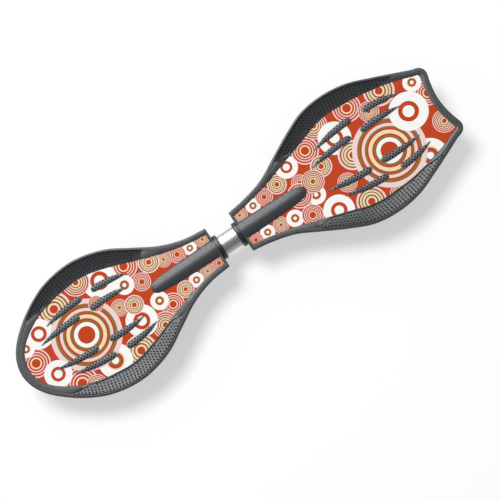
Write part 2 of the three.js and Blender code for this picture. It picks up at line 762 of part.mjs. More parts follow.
function springAnchor() {
  const spigot = tubeRadius - tubeWall - turnGap;
  const headStart = tubeHalfLength + seatGap;
  const body = turned([[0, anchorFace], [spigot, anchorFace], [spigot, headStart], [anchorHeadRadius, headStart],
    [anchorHeadRadius, headStart + anchorHeadLength], [0, headStart + anchorHeadLength]], roundSides, 'x');
  const tang = tangHole(anchorFace - overrun, anchorFace + springTang + seatGap);
  return solid(body).subtract(tang).subtract(lockBoltHole(anchorLockPlace));
}

// The spring's wire, drawn flat as tangs, bends and one slanted line, then wrapped round its cylinder.
class SpringLine extends THREE.Curve {
  constructor() {
    super();
    const turnsWidth = springTurns * 2 * Math.PI * springRadius;
    const straightWidth = turnsWidth - 2 * springBend;
    const slant = Math.atan2(straightWidth, springSpan)
      + Math.asin((2 * springBend) / Math.hypot(springSpan, straightWidth));
    const end = springSpan / 2;
    const tang = springTang + springStandoff;
    this.flat = new THREE.Path();
    this.flat.moveTo(-end - tang, 0).lineTo(-end, 0);
    this.flat.absarc(-end, springBend, springBend, -Math.PI / 2, slant - Math.PI / 2, false);
    this.flat.absarc(end, turnsWidth - springBend, springBend, slant + Math.PI / 2, Math.PI / 2, true);
    this.flat.lineTo(end + tang, turnsWidth);
    this.arcLengthDivisions = springTurns * springStepsPerTurn * 4;
  }

  getPoint(share, target = new THREE.Vector3()) {
    const place = this.flat.getPoint(share);
    const angle = place.y / springRadius;
    return target.set(place.x, springRadius * Math.cos(angle), springRadius * Math.sin(angle));
  }
}

function torsionSpring() {
  const wire = new THREE.Shape(circle(0, 0, wireRadius, wireSides));
  const steps = (springTurns + 1) * springStepsPerTurn;
  const spring = new THREE.ExtrudeGeometry(wire, { steps, bevelEnabled: false, extrudePath: new SpringLine() });
  return spring.translate(springMiddle, 0, 0);
}

function bush(start) {
  return sleeve(tubeRadius + turnGap, bushRadius, start, start + bushLength, roundSides, 'x');
}

function addTube() {
  const group = new THREE.Group();
  group.position.set(neckMiddle, 0, tubeHeight);
  root.add(group);
  piece(group, 'torsion_tube', torsionTube(), finishes.tube);
  piece(group, 'torsion_spring', torsionSpring(), finishes.spring);
  piece(group, 'tail_spring_plug', tailPlug(), finishes.steel);
  piece(group, 'nose_spring_anchor', springAnchor(), finishes.steel);
  const outerBush = neckGap / 2 + spigotLength + seatGap;
  piece(group, 'outer_bush', bush(outerBush), finishes.nylon);
  piece(group, 'inner_bush', bush(outerBush + bushSpacing), finishes.nylon);
  const ringFrom = neckGap / 2 + ringStart;
  const ring = sleeve(tubeRadius - ringGrooveDepth + seatGap, bushRadius - turnGap / 2, ringFrom,
    ringFrom + ringWidth, roundSides, 'x');
  piece(group, 'tube_retaining_ring', ring, finishes.spring);
}

// The caster's fixed pieces: base plate, kingpin with its nut, and the swivel bearing.
function basePlate() {
  const [x, y] = [plateLength / 2 - plateCorner, plateWidth / 2 - plateCorner];
  const outline = [[x, y], [-x, y], [-x, -y], [x, -y]].flatMap(([cornerX, cornerY], corner) => Array.from(
    { length: cornerSteps + 1 }, (_, step) => {
      const angle = ((corner + step / cornerSteps) * Math.PI) / 2;
      return new THREE.Vector2(cornerX + plateCorner * Math.cos(angle), cornerY + plateCorner * Math.sin(angle));
    }));
  const holes = plateScrewPlaces.map(([holeX, holeY]) => circle(holeX, holeY, screwRadius + screwHoleClearance,
    screwSides));
  holes.push(circle(0, 0, kingpinRadius + turnGap, bearingSides));
  return plate(outline, holes, plateUnder, plateUnder + plateThickness);
}

function kingpin() {
  const nutFoot = crownUnder - seatGap - kingpinNutHeight;
  const head = rod(kingpinHeadRadius, seatFoot, seatFoot + kingpinHeadHeight, hexSides, 'z');
  const shank = rod(kingpinRadius, nutFoot - boltProud, seatFoot + kingpinHeadHeight / 2, roundSides / 2, 'z');
  return solid(head).add(solid(shank));
}

function kingpinNut() {
  const top = crownUnder - turnGap;
  return plate(circle(0, 0, kingpinHeadRadius, hexSides), [circle(0, 0, kingpinRadius + seatGap, roundSides / 2)],
    top - kingpinNutHeight, top);
}

function swivelBearing() {
  const [bore, out] = [kingpinRadius + turnGap, swivelBearingRadius];
  const [foot, top] = [swivelBearingFoot, swivelBearingFoot + swivelBearingHeight];
  const [low, high] = swivelSealShares.map((share) => foot + share * swivelBearingHeight);
  const seal = out - swivelSealDepth;
  return turned([[bore, foot], [out, foot], [out, low], [seal, low], [seal, high], [out, high], [out, top],
    [bore, top], [bore, foot]], hubSides, 'z');
}

// The fork: a crown on the kingpin and two legs that reach back to the axle.
function fork() {
  const arc = Array.from({ length: legArcSteps + 1 }, (_, step) => {
    const degrees = THREE.MathUtils.lerp(legArcDegrees[0], legArcDegrees[1], step / legArcSteps);
    const angle = THREE.MathUtils.degToRad(degrees);
    return [legEndRadius * Math.cos(angle) - casterOffset, legEndRadius * Math.sin(angle)];
  });
  const leg = [[crownFront, crownTop], [forkWaist, crownTop * forkWaistHeightShare], ...arc, [-crownRear, crownTop]]
    .map(([x, z]) => new THREE.Vector2(x, z));
  const outer = forkInner + forkLegWall;
  const bossFace = hubWidth / 2 + turnGap;
  const sides = [1, -1].flatMap((side) => {
    const [low, high] = side > 0 ? [forkInner, outer] : [-outer, -forkInner];
    const [bossLow, bossHigh] = side > 0 ? [bossFace, outer - seatGap] : [seatGap - outer, -bossFace];
    return [sideProfile(leg, [], low, high),
      rod(axleBossRadius, bossLow, bossHigh, holeSides, 'y').translate(-casterOffset, 0, 0)];
  });
  const crown = plate(circle(0, 0, crownRadius, roundSides), [circle(0, 0, kingpinRadius + turnGap, roundSides / 2)],
    crownUnder, crownTop);
  const axleHole = rod(axleRadius + seatGap, -outer - overrun, outer + overrun, holeSides, 'y');
  return fuse([crown, ...sides].map(solid)).subtract(solid(axleHole.translate(-casterOffset, 0, 0)));
}

function axle() {
  const face = forkInner + forkLegWall + seatGap;
  const head = rod(axleHeadRadius, face, face + axleHeadHeight, hexSides, 'y');
  const shank = rod(axleRadius, -face - axleNutHeight - boltProud, face + axleHeadHeight / 2, holeSides, 'y');
  return solid(head).add(solid(shank));
}

function axleNut() {
  const face = -forkInner - forkLegWall - seatGap;
  return sideProfile(circle(0, 0, axleHeadRadius, hexSides), [circle(0, 0, axleRadius + seatGap, holeSides)],
    face - axleNutHeight, face);
}

// The wheel, on its axle along Y: tyre, cored hub, two ball bearings and the spacer between them.
function tyre() {
  const right = treadShares.map(([across, radius]) => [radius * wheelRadius, (across * wheelWidth) / 2]);
  const left = right.map(([radius, across]) => [radius, -across]).reverse();
  const bore = hubRadius + seatGap;
  const half = tyreBoreWidth / 2;
  return turned([[bore, -half], ...left, ...right, [bore, half], [bore, -half]], wheelSides, 'y');
}

function hub() {
  const seat = bearingRadius + seatGap;
  const half = hubWidth / 2;
  const stop = half - bearingWidth - seatGap;
  const web = hubWebThickness / 2;
  const nose = seat + hubNose;
  const rim = hubRadius - hubRim;
  const right = [[hubRadius, tyreBoreWidth / 2], [rim, tyreBoreWidth / 2], [rim, web], [nose, web], [nose, half],
    [seat, half], [seat, stop], [seat - bearingStop, stop]];
  const left = right.map(([radius, along]) => [radius, -along]).reverse();
  const body = solid(turned([...left, ...right, left[0]], hubSides, 'y'));
  const windows = Array.from({ length: hubWindowCount }, (_, at) => {
    const hole = rod(hubWindowRadius, -web - overrun, web + overrun, screwSides, 'y');
    return solid(hole.translate((nose + rim) / 2, 0, 0).rotateY((at / hubWindowCount) * 2 * Math.PI));
  });
  return body.subtract(fuse(windows));
}

// A bearing seated in one side of the hub; side is 1 or -1 along Y.
function wheelBearing(side) {
  const [from, to] = [hubWidth / 2 - bearingWidth, hubWidth / 2].map((place) => place * side).sort((a, b) => a - b);
  return sleeve(bearingBore, bearingRadius, from, to, bearingSides, 'y');
}

function addCaster(deck, name) {
  const group = new THREE.Group();
  group.applyMatrix4(casterMatrix(deck));
  root.add(group);
  piece(group, `${name}_caster_plate`, basePlate(), finishes.zinc);
  plateScrewPlaces.forEach(([x, y], at) => piece(group, `${name}_plate_screw_${at + 1}`,
    screw(plateUnder - seatGap, plateScrewLength, x, y), finishes.blackSteel));
  piece(group, `${name}_kingpin`, kingpin(), finishes.steel);
  piece(group, `${name}_kingpin_nut`, kingpinNut(), finishes.steel);
  piece(group, `${name}_swivel_bearing`, swivelBearing(), finishes.steel);
  piece(group, `${name}_fork`, fork(), finishes.zinc);
  const wheel = new THREE.Group();
  wheel.position.x = -casterOffset;
  group.add(wheel);
  piece(wheel, `${name}_axle`, axle(), finishes.steel);
  piece(wheel, `${name}_axle_nut`, axleNut(), finishes.steel);
  piece(wheel, `${name}_tyre`, tyre(), finishes.tyre);
  piece(wheel, `${name}_hub`, hub(), finishes.hub);
  piece(wheel, `${name}_bearing_left`, wheelBearing(1), finishes.steel);
  piece(wheel, `${name}_bearing_right`, wheelBearing(-1), finishes.steel);
  const spacerHalf = hubWidth / 2 - bearingWidth - seatGap;
  piece(wheel, `${name}_bearing_spacer`, sleeve(bearingBore, spacerRadius, -spacerHalf, spacerHalf, holeSides, 'y'),
    finishes.steel);
}

addDeck(noseDeck);
addDeck(tailDeck);
addTube();
addCaster(noseDeck, 'front');
addCaster(tailDeck, 'rear');

export default root;
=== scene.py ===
"""Looks of a caster board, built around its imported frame.

Two foot decks in line on a sprung torsion tube, each on one inclined swivel caster. Metres, +X to the
rounded nose deck, +Z up. Names that end in _MM or _mm and the tables of the board's sizes hold millimetres.
"""

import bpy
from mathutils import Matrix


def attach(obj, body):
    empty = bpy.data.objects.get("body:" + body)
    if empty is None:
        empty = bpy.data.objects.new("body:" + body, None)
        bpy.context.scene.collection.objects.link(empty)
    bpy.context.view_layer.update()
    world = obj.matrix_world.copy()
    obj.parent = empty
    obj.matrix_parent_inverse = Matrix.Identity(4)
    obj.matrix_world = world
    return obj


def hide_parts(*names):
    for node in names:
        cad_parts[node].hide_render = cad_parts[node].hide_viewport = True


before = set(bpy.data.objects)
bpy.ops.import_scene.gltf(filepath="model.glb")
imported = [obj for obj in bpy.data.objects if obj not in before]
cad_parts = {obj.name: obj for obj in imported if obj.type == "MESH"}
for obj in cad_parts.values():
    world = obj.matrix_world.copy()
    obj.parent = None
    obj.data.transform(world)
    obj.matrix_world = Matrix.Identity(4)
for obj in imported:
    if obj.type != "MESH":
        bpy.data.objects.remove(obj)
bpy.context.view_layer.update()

import math

import bmesh
import bpy
from bpy.props import FloatProperty, FloatVectorProperty, PointerProperty
from mathutils import Matrix, Vector
from mathutils.bvhtree import BVHTree
from mathutils.geometry import interpolate_bezier

bl_info = {
    "name": "Caster Board Looks",
    "version": (1, 0, 0),
    "blender": (4, 5, 0),
    "location": "3D Viewport > Sidebar > Caster Board",
    "description": "Models and finishes the visible pieces of a caster board around its packed frame",
    "category": "Object",
}

MM = 0.001
# Corners of a mesh that lie closer than this are one.
JOIN_MM = 0.001


def linear(hex_colour, alpha=1.0):
    """An sRGB hex colour as linear RGBA."""
    channels = [int(hex_colour[at:at + 2], 16) / 255 for at in (1, 3, 5)]
    low, share, offset, power = 0.04045, 12.92, 0.055, 2.4
    return (*(c / share if c <= low else ((c + offset) / (1 + offset)) ** power for c in channels), alpha)


# Where the decks lie: heights over the ground, then where each deck's neck begins and the way it runs.
FLOOR_MM = 108.0
PANEL_TOP_MM = 109.3
TUBE_HEIGHT_MM = 92.5
TUBE_MIDDLE_MM = 8.5
DECKS = {
    "nose": {"neck": 32.5, "way": 1, "length": 397, "width": 238, "tip_rim": 14.5, "fall": (0.64, 1.0)},
    "tail": {"neck": -15.5, "way": -1, "length": 414, "width": 241, "tip_rim": 12.0, "fall": (0.62, 0.95)},
}
KICK_START_SHARE = 0.62
KICK_RISE_MM = 9.0

# Half outlines from the neck: share of length, share of the way from neck to full half width.
NECK_HALF_MM = 39.0
FLARE_SHARES = {
    "nose": ((0, 0), (0.106, 0.063), (0.209, 0.238), (0.31, 0.525), (0.413, 0.817), (0.516, 0.97),
             (0.604, 1)),
    "tail": ((0, 0), (0.08, 0.061), (0.179, 0.195), (0.278, 0.455), (0.377, 0.72), (0.476, 0.934),
             (0.587, 1)),
}
# Then to the tip: share of length, share of half width.
TAPER_SHARES = {
    "nose": ((0.723, 0.93), (0.826, 0.765), (0.902, 0.578), (0.957, 0.39), (0.989, 0.2), (1, 0)),
    "tail": ((0.698, 0.951), (0.795, 0.825), (0.894, 0.679), (0.957, 0.584)),
}
TAIL_CORNER_RADIUS_MM = 16.0
TAIL_CORNER_SHARE = 0.57478
TAIL_CORNER_DEGREES = (66, 42, 18, -6)
NOTCH_DEPTH_MM = 9.0
NOTCH_SHARES = ((0.68, 0.45), (0.32, 0.87), (0, 1))
OUTLINE_STEPS = 8

# Rim, bead and grip band across it, as the frame has them.
NECK_RIM_MM = 9.8
SIDE_RIM_MM = 32.5
NECK_RIM_HEIGHT_MM = 4.4
SIDE_RIM_HEIGHT_MM = 8.0
BEAD_MM = 4.5
BEAD_SHARES = ((0.8, 1.0), (0.58, 1.0), (0.42, 0.965), (0.27, 0.88), (0.14, 0.74), (0.06, 0.56),
               (0.015, 0.38), (0, 0.2))
BEAD_ROUND_MM = (0.05, 0.75)
BEAD_ROUND_DEGREES = (0, 22, 45, 68, 90)
GROOVE_WIDTH_MM = 1.7
GROOVE_DEPTH_MM = 1.5
GROOVE_LAND_MM = 0.3
LIP_HEIGHT_MM = 1.5
LIP_DRAFT_MM = 0.4
SKIRT_DEPTH_MM = 22.0
SKIRT_TUCK_MM = 3.0
SKIRT_WALL_MM = 3.5

# At the neck's corners the cross-section leans along the board by this share of its inset.
NECK_RIM_SHARE = 0.5
# Shares of the length over which the rim swells, and over which the grip band opens and closes again.
RIM_RISE_SHARES = (0.12, 0.46)
BAND_START_SHARES = (0.262, 0.31)
BAND_END_SHARES = (0.8, 0.885)
BAND_MARGIN_MM = 1.2
# How far the smooth rim stands off the frame's solid and reaches into it, and how far that is drawn in.
SKIN_MM = 0.02
SKIN_DEPTH_MM = 1.0
TUCK_MM = 0.7
# Painted shade in the grooves round the pip fields, thin dark strips on the groove walls: the groove's depth
# from which they run, and their lower and upper face.
GROOVE_SHADE_FROM_MM = 0.3
GROOVE_SHADE_LIFTS_MM = (-0.2, 0.15)

# The housing over the tube: share of its length, share of its radius.
HOUSING_RADIUS_MM = 23.0
HOUSING_LENGTH_MM = 145.0
HOUSING_SHARES = ((0, 1), (0.27, 0.985), (0.6, 0.96), (0.78, 0.91), (0.862, 0.85), (0.903, 0.776),
                  (0.932, 0.69), (0.95, 0.6), (0.972, 0.45), (0.987, 0.3), (0.997, 0.14), (1, 0))
HOUSING_WALL_MM = 1.0

# Grip ribs: blunt end and tip as shares of the deck's length and half width.
RIBS = {
    "nose": (((0.612, 0.475), (0.801, 0.4)), ((0.662, 0.262), (0.861, 0.206)),
             ((0.554, 0.487), (0.388, 0.412)), ((0.6, 0.262), (0.423, 0.244))),
    "tail": (((0.633, 0.485), (0.44, 0.395)), ((0.592, 0.27), (0.394, 0.2)),
             ((0.698, 0.49), (0.853, 0.413)), ((0.645, 0.262), (0.831, 0.25))),
}
RIB_BOW_MM = 2.3
RIB_HALF_WIDTH_MM = 6.35
RIB_RISE_MM = 3.15
RIB_SIDES = 20
# Stations down a rib: share of its length, of its half width and of its height.
RIB_STATIONS = ((-0.014, 0.1, 0.1), (-0.012, 0.3, 0.35), (-0.005, 0.5, 0.6), (0.008, 0.68, 0.8),
                (0.04, 0.88, 0.95), (0.11, 1.0, 1.0), (0.34, 0.94, 1.0), (0.58, 0.84, 1.0),
                (0.7, 0.7, 0.95), (0.82, 0.52, 0.86), (0.92, 0.29, 0.65), (1.0, 0.11, 0.42))

# Pips: the margin between a band's edge and its first row, and the slack that its last row has.
PIP_MARGIN_MM = 2.3
PIP_SLACK_MM = 0.6
PIP_SIDES = 8
PIP_CROWN_SHARE = 0.8
# On a rib the side rows stand this share of its half width off its middle. Half widths that take pips at all,
# and three rows of them.
RIB_ROW_SHARE = 0.58
RIB_PIP_HALF_MM = 2.2
RIB_ROWS_HALF_MM = 4.0
# Pips are dropped onto the plastic from above, and only where it isn't far below the floor.
DROP_FROM_MM = 200.0
DROP_TO_MM = 104.0

# The print's rings: bands of colour from the middle out, as shares of a ring's radius.
RING_STYLES = {
    "great": ((0, "ORANGE"), (0.24, "WHITE"), (0.35, "OLIVE"), (0.41, "ORANGE"), (0.46, "CREAM"),
              (0.56, "ORANGE"), (0.61, "OLIVE"), (0.66, "PINK"), (0.74, "ORANGE"), (0.79, "OLIVE"),
              (0.86, "PINK")),
    "eye": ((0, "WHITE"), (0.3, "ORANGE"), (0.52, "WHITE")),
    "pupil": ((0, "WHITE"), (0.2, "OLIVE"), (0.3, "ORANGE"), (0.46, "CREAM"), (0.54, "WHITE")),
    "target": ((0, "ORANGE"), (0.24, "CREAM"), (0.36, "RUST"), (0.46, "CREAM"), (0.58, "OLIVE"),
               (0.66, "CREAM"), (0.76, "RUST"), (0.86, "PINK")),
    "fine": ((0, "ORANGE"), (0.2, "CREAM"), (0.32, "RUST"), (0.4, "CREAM"), (0.5, "RUST"), (0.58, "CREAM"),
             (0.66, "RUST"), (0.74, "PINK"), (0.82, "ORANGE"), (0.92, "PINK")),
    "lines": ((0, "ORANGE"), (0.3, "CREAM"), (0.4, "ORANGE"), (0.52, "PINK"), (0.6, "ORANGE"), (0.7, "PINK"),
              (0.78, "ORANGE"), (0.9, "PINK")),
}
# Rings from the lowest layer up: distance from the neck, distance to the left, radius, style.
PRINT_RINGS = {
    "nose": (
        (12, 24, 13, "lines"), (36, 25, 13, "fine"), (60, 27, 13, "pupil"), (84, 30, 15, "target"),
        (14, -26, 14, "fine"), (40, -25, 12, "pupil"), (64, -28, 15, "lines"), (88, -34, 14, "fine"),
        (116, 40, 20, "lines"), (112, -44, 19, "target"), (140, -22, 16, "lines"), (132, 22, 16, "pupil"),
        (146, 62, 23, "fine"), (152, -62, 24, "lines"), (176, 34, 28, "eye"), (168, -34, 17, "pupil"),
        (204, 76, 28, "target"), (200, -64, 31, "eye"), (196, -6, 15, "fine"), (236, -84, 24, "fine"),
        (250, 66, 30, "pupil"), (292, -66, 30, "target"), (366, -4, 25, "lines"), (336, -44, 26, "eye"),
        (318, 68, 28, "lines"), (268, 2, 62, "great"), (344, 32, 24, "eye"), (368, -34, 15, "pupil"),
        (226, -34, 14, "lines"), (172, 4, 17, "target"), (298, 84, 18, "fine"), (268, -98, 15, "lines"),
    ),
    "tail": (
        (14, 25, 14, "fine"), (38, -26, 13, "pupil"), (14, -26, 13, "lines"), (42, 26, 13, "pupil"),
        (66, 28, 15, "lines"), (64, -28, 14, "fine"), (90, -32, 15, "pupil"), (96, 34, 17, "target"),
        (118, -44, 19, "lines"), (126, 50, 20, "eye"), (130, 14, 15, "lines"), (142, -18, 17, "pupil"),
        (160, -62, 27, "eye"), (168, 56, 24, "lines"), (176, 18, 19, "target"), (198, -30, 17, "fine"),
        (204, 84, 24, "fine"), (214, -80, 26, "target"), (222, 46, 29, "eye"), (330, 72, 27, "target"),
        (232, 4, 26, "target"), (262, -96, 18, "fine"), (118, -4, 22, "lines"), (150, 4, 20, "fine"),
        (392, -34, 20, "fine"), (396, 22, 22, "lines"), (340, -70, 30, "pupil"), (288, -24, 64, "great"),
        (268, 78, 25, "lines"), (352, 14, 34, "eye"), (384, 52, 16, "pupil"), (296, 52, 18, "fine"),
    ),
}

# Casters: the deck that carries each, and how far along the board its own frame stands. The swivel axis is
# +Z of that frame, and the wheel's axle lies CASTER_OFFSET_MM behind it.
CASTERS = {"front": ("nose", 238.268), "rear": ("tail", -291.466)}
CASTER_FOOT_MM = 25.0
CASTER_OFFSET_MM = 26.0
RAKE = math.radians(30)
BEARING_FROM_MM = 4.0

# Sides of what is turned or stacked.
LARGE_SIDES = 96
MIDDLE_SIDES = 72
SMALL_SIDES = 64
ROUND_SIDES = 24

# Socket screws: where they stand in the frame of a deck or of a caster, and their head from the socket's
# floor over the dome to the shank. Radius and height, with the sides of a ring that isn't round.
SCREWS = {
    "clamp": {"along": (12.0, 80.0), "across": 28.6, "face": -4.6, "length": 15.0},
    "plate": {"along": (22.0, -22.0), "across": 20.0, "face": 56.0, "length": 12.0},
}
SCREW_HEAD_MM = ((1.3, -1.1, 6), (1.3, -2.35, 6), (1.65, -2.6), (2.4, -2.52), (3.2, -2.15), (3.8, -1.45),
                 (4.15, -0.6), (4.2, 0), (2.2, 0))
SCREW_SHANK_MM = 2.2
SCREW_CHAMFER_MM = 0.6

# Hexagons, by their radii and their places on the axis: a bolt's head from its top to its face, and its
# shank to the end; a nut and its bore from low to high.
LOCK_BOLT = {"head": 5.6, "top": -29.0, "face": -25.0, "shank": 2.5, "end": -7.0}
LOCK_BOLTS = {"nose": (93.3, "spring_anchor_bolt"), "tail": (72.0, "tube_lock_bolt")}
KINGPIN = {"head": 9.6, "top": 66.1, "face": 60.1, "shank": 5.0, "end": 36.5}
KINGPIN_NUT = {"head": 9.6, "bore": 5.3, "low": 37.7, "high": 43.7}
AXLE = {"head": 7.4, "top": 23.0, "face": 18.0, "shank": 4.0, "end": -25.7}
AXLE_NUT = {"head": 7.4, "bore": 4.3, "low": -24.5, "high": -18.0}
HEX_CHAMFER_MM = 0.7
# The chamfer's circle and a nut's nylon ring, as shares of the hexagon's width over its flats.
HEX_ROUND_SHARE = 0.97
NYLON_SHARES = (0.93, 0.8)
NYLON_HEIGHT_SHARE = 0.3
HEAD_FILLET_MM = 0.1

# Turned profiles: radius and place on the axis.
TUBE_PROFILE_MM = ((16, -108), (18, -108), (18, 108), (16, 108))
TUBE_ROUND_MM = 0.4
COLLAR_PROFILE_MM = ((18.3, -8), (21.5, -8), (23, -6.5), (23, -0.3), (19.9, -0.3), (19.9, 6), (18.3, 6))
RACES_PROFILE_MM = ((5.3, 47.8), (20.2, 47.8), (21.4, 48.3), (22, 49.4), (22, 50.8), (21.6, 51.1),
                    (20.5, 51.2), (20.5, 52.6), (21.6, 52.7), (22, 53), (22, 54.6), (21.6, 55.5), (20.6, 56),
                    (5.3, 56))
HALF_TYRE_PROFILE_MM = ((38, 2.2), (37.75, 5), (37.2, 7.4), (36.2, 9.4), (34.6, 10.7), (32.5, 11.3),
                        (30, 11.2), (27, 10.6), (24.3, 10))
HUB_RIM_PROFILE_MM = ((24, -10), (24, 10), (21.2, 10), (20.8, 9.6), (20.8, -9.6), (21.2, -10))
HUB_NOSE_PROFILE_MM = ((11.3, -3.7), (10, -3.7), (10, 3.7), (11.3, 3.7), (11.3, 10.7), (11.6, 11), (13.5, 11),
                       (14.1, 10.4), (14.1, -10.4), (13.5, -11), (11.6, -11), (11.3, -10.7))
BEARING_PROFILE_MM = ((4.3, 0.2), (4.5, 0), (10.8, 0), (11, 0.2), (11, 6.75), (10.75, 7), (9.4, 7),
                      (9.2, 6.5), (6.5, 6.45), (6.3, 7), (4.6, 7), (4.3, 6.75))
# The hub's web and the windows in it.
WEB_RADII_MM = (13.6, 21.2)
WEB_HALF_MM = 4.5
WINDOWS = 6
WINDOW_RADIUS_MM = 2.4
WINDOW_FROM_MM = 17.4
WINDOW_SIDES = 20
# How far bent and moulded edges are rounded.
PRESSED_ROUND_MM = 0.6
FORK_ROUND_MM = 0.7


class BoardSizes(bpy.types.PropertyGroup):
    """Sizes that can be changed without the frame."""
    edge_round: FloatProperty(
        name="Edge Rounding", description="Width of the rounding on the edges of the collars",
        default=0.5 * MM, min=0, unit="LENGTH")
    pip_pitch: FloatProperty(
        name="Pip Pitch", description="Distance between grip pips along a row",
        default=6.0 * MM, min=3.0 * MM, unit="LENGTH")
    pip_row: FloatProperty(
        name="Pip Row Distance", description="Distance between two rows of grip pips",
        default=4.6 * MM, min=3.0 * MM, unit="LENGTH")
    pip_radius: FloatProperty(
        name="Pip Radius", description="Radius of a grip pip at its foot",
        default=1.8 * MM, min=0.2 * MM, unit="LENGTH")
    pip_height: FloatProperty(
        name="Pip Height", description="Height of a grip pip over the plastic",
        default=0.7 * MM, min=0.1 * MM, unit="LENGTH")


class BoardColours(bpy.types.PropertyGroup):
    """Colours of the board's finishes."""
    deck: FloatVectorProperty(
        name="Deck Plastic", description="Slate grey moulded plastic of decks and clamps",
        default=linear("#2f3337"), size=4, subtype="COLOR")
    pip: FloatVectorProperty(
        name="Grip Pips", description="Black rubber of the grip pips",
        default=linear("#070708"), size=4, subtype="COLOR")
    rib: FloatVectorProperty(
        name="Grip Ribs", description="Mid grey moulded plastic of the grip ribs",
        default=linear("#565b60"), size=4, subtype="COLOR")
    collar: FloatVectorProperty(
        name="Collars", description="Black plastic of the two collars",
        default=linear("#1b1c1e"), size=4, subtype="COLOR")
    tube: FloatVectorProperty(
        name="Tube", description="Satin aluminium of the torsion tube",
        default=linear("#a6a7a9"), size=4, subtype="COLOR")
    tyre: FloatVectorProperty(
        name="Wheels", description="Smoke grey cast urethane of the wheels",
        default=linear("#33363a"), size=4, subtype="COLOR")
    hub: FloatVectorProperty(
        name="Hubs", description="Black glass-filled nylon of the hubs",
        default=linear("#1d1e20"), size=4, subtype="COLOR")
    print_ground: FloatVectorProperty(
        name="Print Ground", description="Orange red ground of the deck print",
        default=linear("#c4431b"), size=4, subtype="COLOR")


PRINT_INKS = {"CREAM": "#f0dfba", "WHITE": "#fbfaf8", "PINK": "#f2d6d2", "OLIVE": "#8f7238",
              "RUST": "#a04a26"}


def sizes():
    return bpy.context.scene.board_sizes


def colours():
    return bpy.context.scene.board_colours


# Materials.

# The colour sockets of a Mix node, which share their names with those of its other types.
MIX_FROM, MIX_TO, MIX_OUT = 6, 7, 2


def add(tree, kind, inputs=None, **settings):
    """Adds a node, gives it its settings, and sets or links its inputs."""
    made = tree.nodes.new(kind)
    for key, value in settings.items():
        setattr(made, key, value)
    for key, value in (inputs or {}).items():
        if isinstance(value, bpy.types.NodeSocket):
            tree.links.new(value, made.inputs[key])
        else:
            made.inputs[key].default_value = value
    return made


def begin_material(name):
    """An empty material, and the place on the piece that its patterns read."""
    material = bpy.data.materials.new(name)
    material.use_nodes = True
    tree = material.node_tree
    tree.nodes.clear()
    return material, tree, add(tree, "ShaderNodeTexCoord").outputs["Object"]


def end_material(tree, sockets):
    """The shader with what its sockets take, led to the output."""
    shader = add(tree, "ShaderNodeBsdfPrincipled", sockets)
    add(tree, "ShaderNodeOutputMaterial", {"Surface": shader.outputs["BSDF"]})


def speckle(tree, place, size_mm, detail=2.0, stretch=(1, 1, 1)):
    """Noise whose spots are about size_mm across, drawn out along an axis by a stretch below one."""
    mapped = add(tree, "ShaderNodeMapping", {"Vector": place, "Scale": stretch}).outputs["Vector"]
    noise = add(tree, "ShaderNodeTexNoise", {"Vector": mapped, "Scale": 1 / (size_mm * MM), "Detail": detail})
    return noise.outputs["Fac"]


def shade(colour, share):
    """A colour made darker or lighter."""
    return (*(min(1.0, channel * share) for channel in colour[:3]), 1.0)


def pebbled(name, colour, grain_mm, gloss):
    """A spark-eroded moulding: a fine matt pebble that breaks up the highlights, and a faint flow mottle."""
    material, tree, place = begin_material(name)
    grain, mottle = speckle(tree, place, grain_mm, 3.0), speckle(tree, place, 22.0)
    base = add(tree, "ShaderNodeMix", {"Factor": mottle, MIX_FROM: shade(colour, 0.9),
                                       MIX_TO: shade(colour, 1.1)}, data_type="RGBA")
    sheen = add(tree, "ShaderNodeMapRange", {"Value": grain, "To Min": gloss - 0.06, "To Max": gloss + 0.1})
    relief = add(tree, "ShaderNodeBump", {"Height": grain, "Distance": 0.05 * MM, "Strength": 1.0})
    end_material(tree, {"Base Color": base.outputs[MIX_OUT], "Roughness": sheen.outputs["Result"],
                        "Normal": relief.outputs["Normal"], "IOR": 1.5})
    return material


def drifting(name, spot_mm, detail, tints, roughness, fixed=None, grain=None):
    """A material whose colour and roughness drift together over spots of a size.

    What is fixed goes on the shader's own sockets. The grain is a finer relief by its size and depth in mm.
    """
    material, tree, place = begin_material(name)
    drift = speckle(tree, place, spot_mm, detail)
    base = add(tree, "ShaderNodeMix", {"Factor": drift, MIX_FROM: tints[0], MIX_TO: tints[1]},
               data_type="RGBA")
    sheen = add(tree, "ShaderNodeMapRange", {"Value": drift, "To Min": roughness[0], "To Max": roughness[1]})
    sockets = {"Base Color": base.outputs[MIX_OUT], "Roughness": sheen.outputs["Result"]} | (fixed or {})
    if grain:
        size_mm, depth_mm = grain
        relief = add(tree, "ShaderNodeBump", {"Height": speckle(tree, place, size_mm), "Strength": 1.0,
                                              "Distance": depth_mm * MM})
        sockets["Normal"] = relief.outputs["Normal"]
    end_material(tree, sockets)
    return material


def anodised_aluminium(name, colour):
    """Satin anodised tube: drawn along its length, so the fine lines run along X."""
    material, tree, place = begin_material(name)
    lines = speckle(tree, place, 0.5, 2.0, (0.02, 1, 1))
    sheen = add(tree, "ShaderNodeMapRange", {"Value": lines, "To Min": 0.38, "To Max": 0.48})
    relief = add(tree, "ShaderNodeBump", {"Height": lines, "Distance": 0.01 * MM, "Strength": 1.0})
    end_material(tree, {"Base Color": colour, "Metallic": 1.0, "Roughness": sheen.outputs["Result"],
                        "Normal": relief.outputs["Normal"]})
    return material


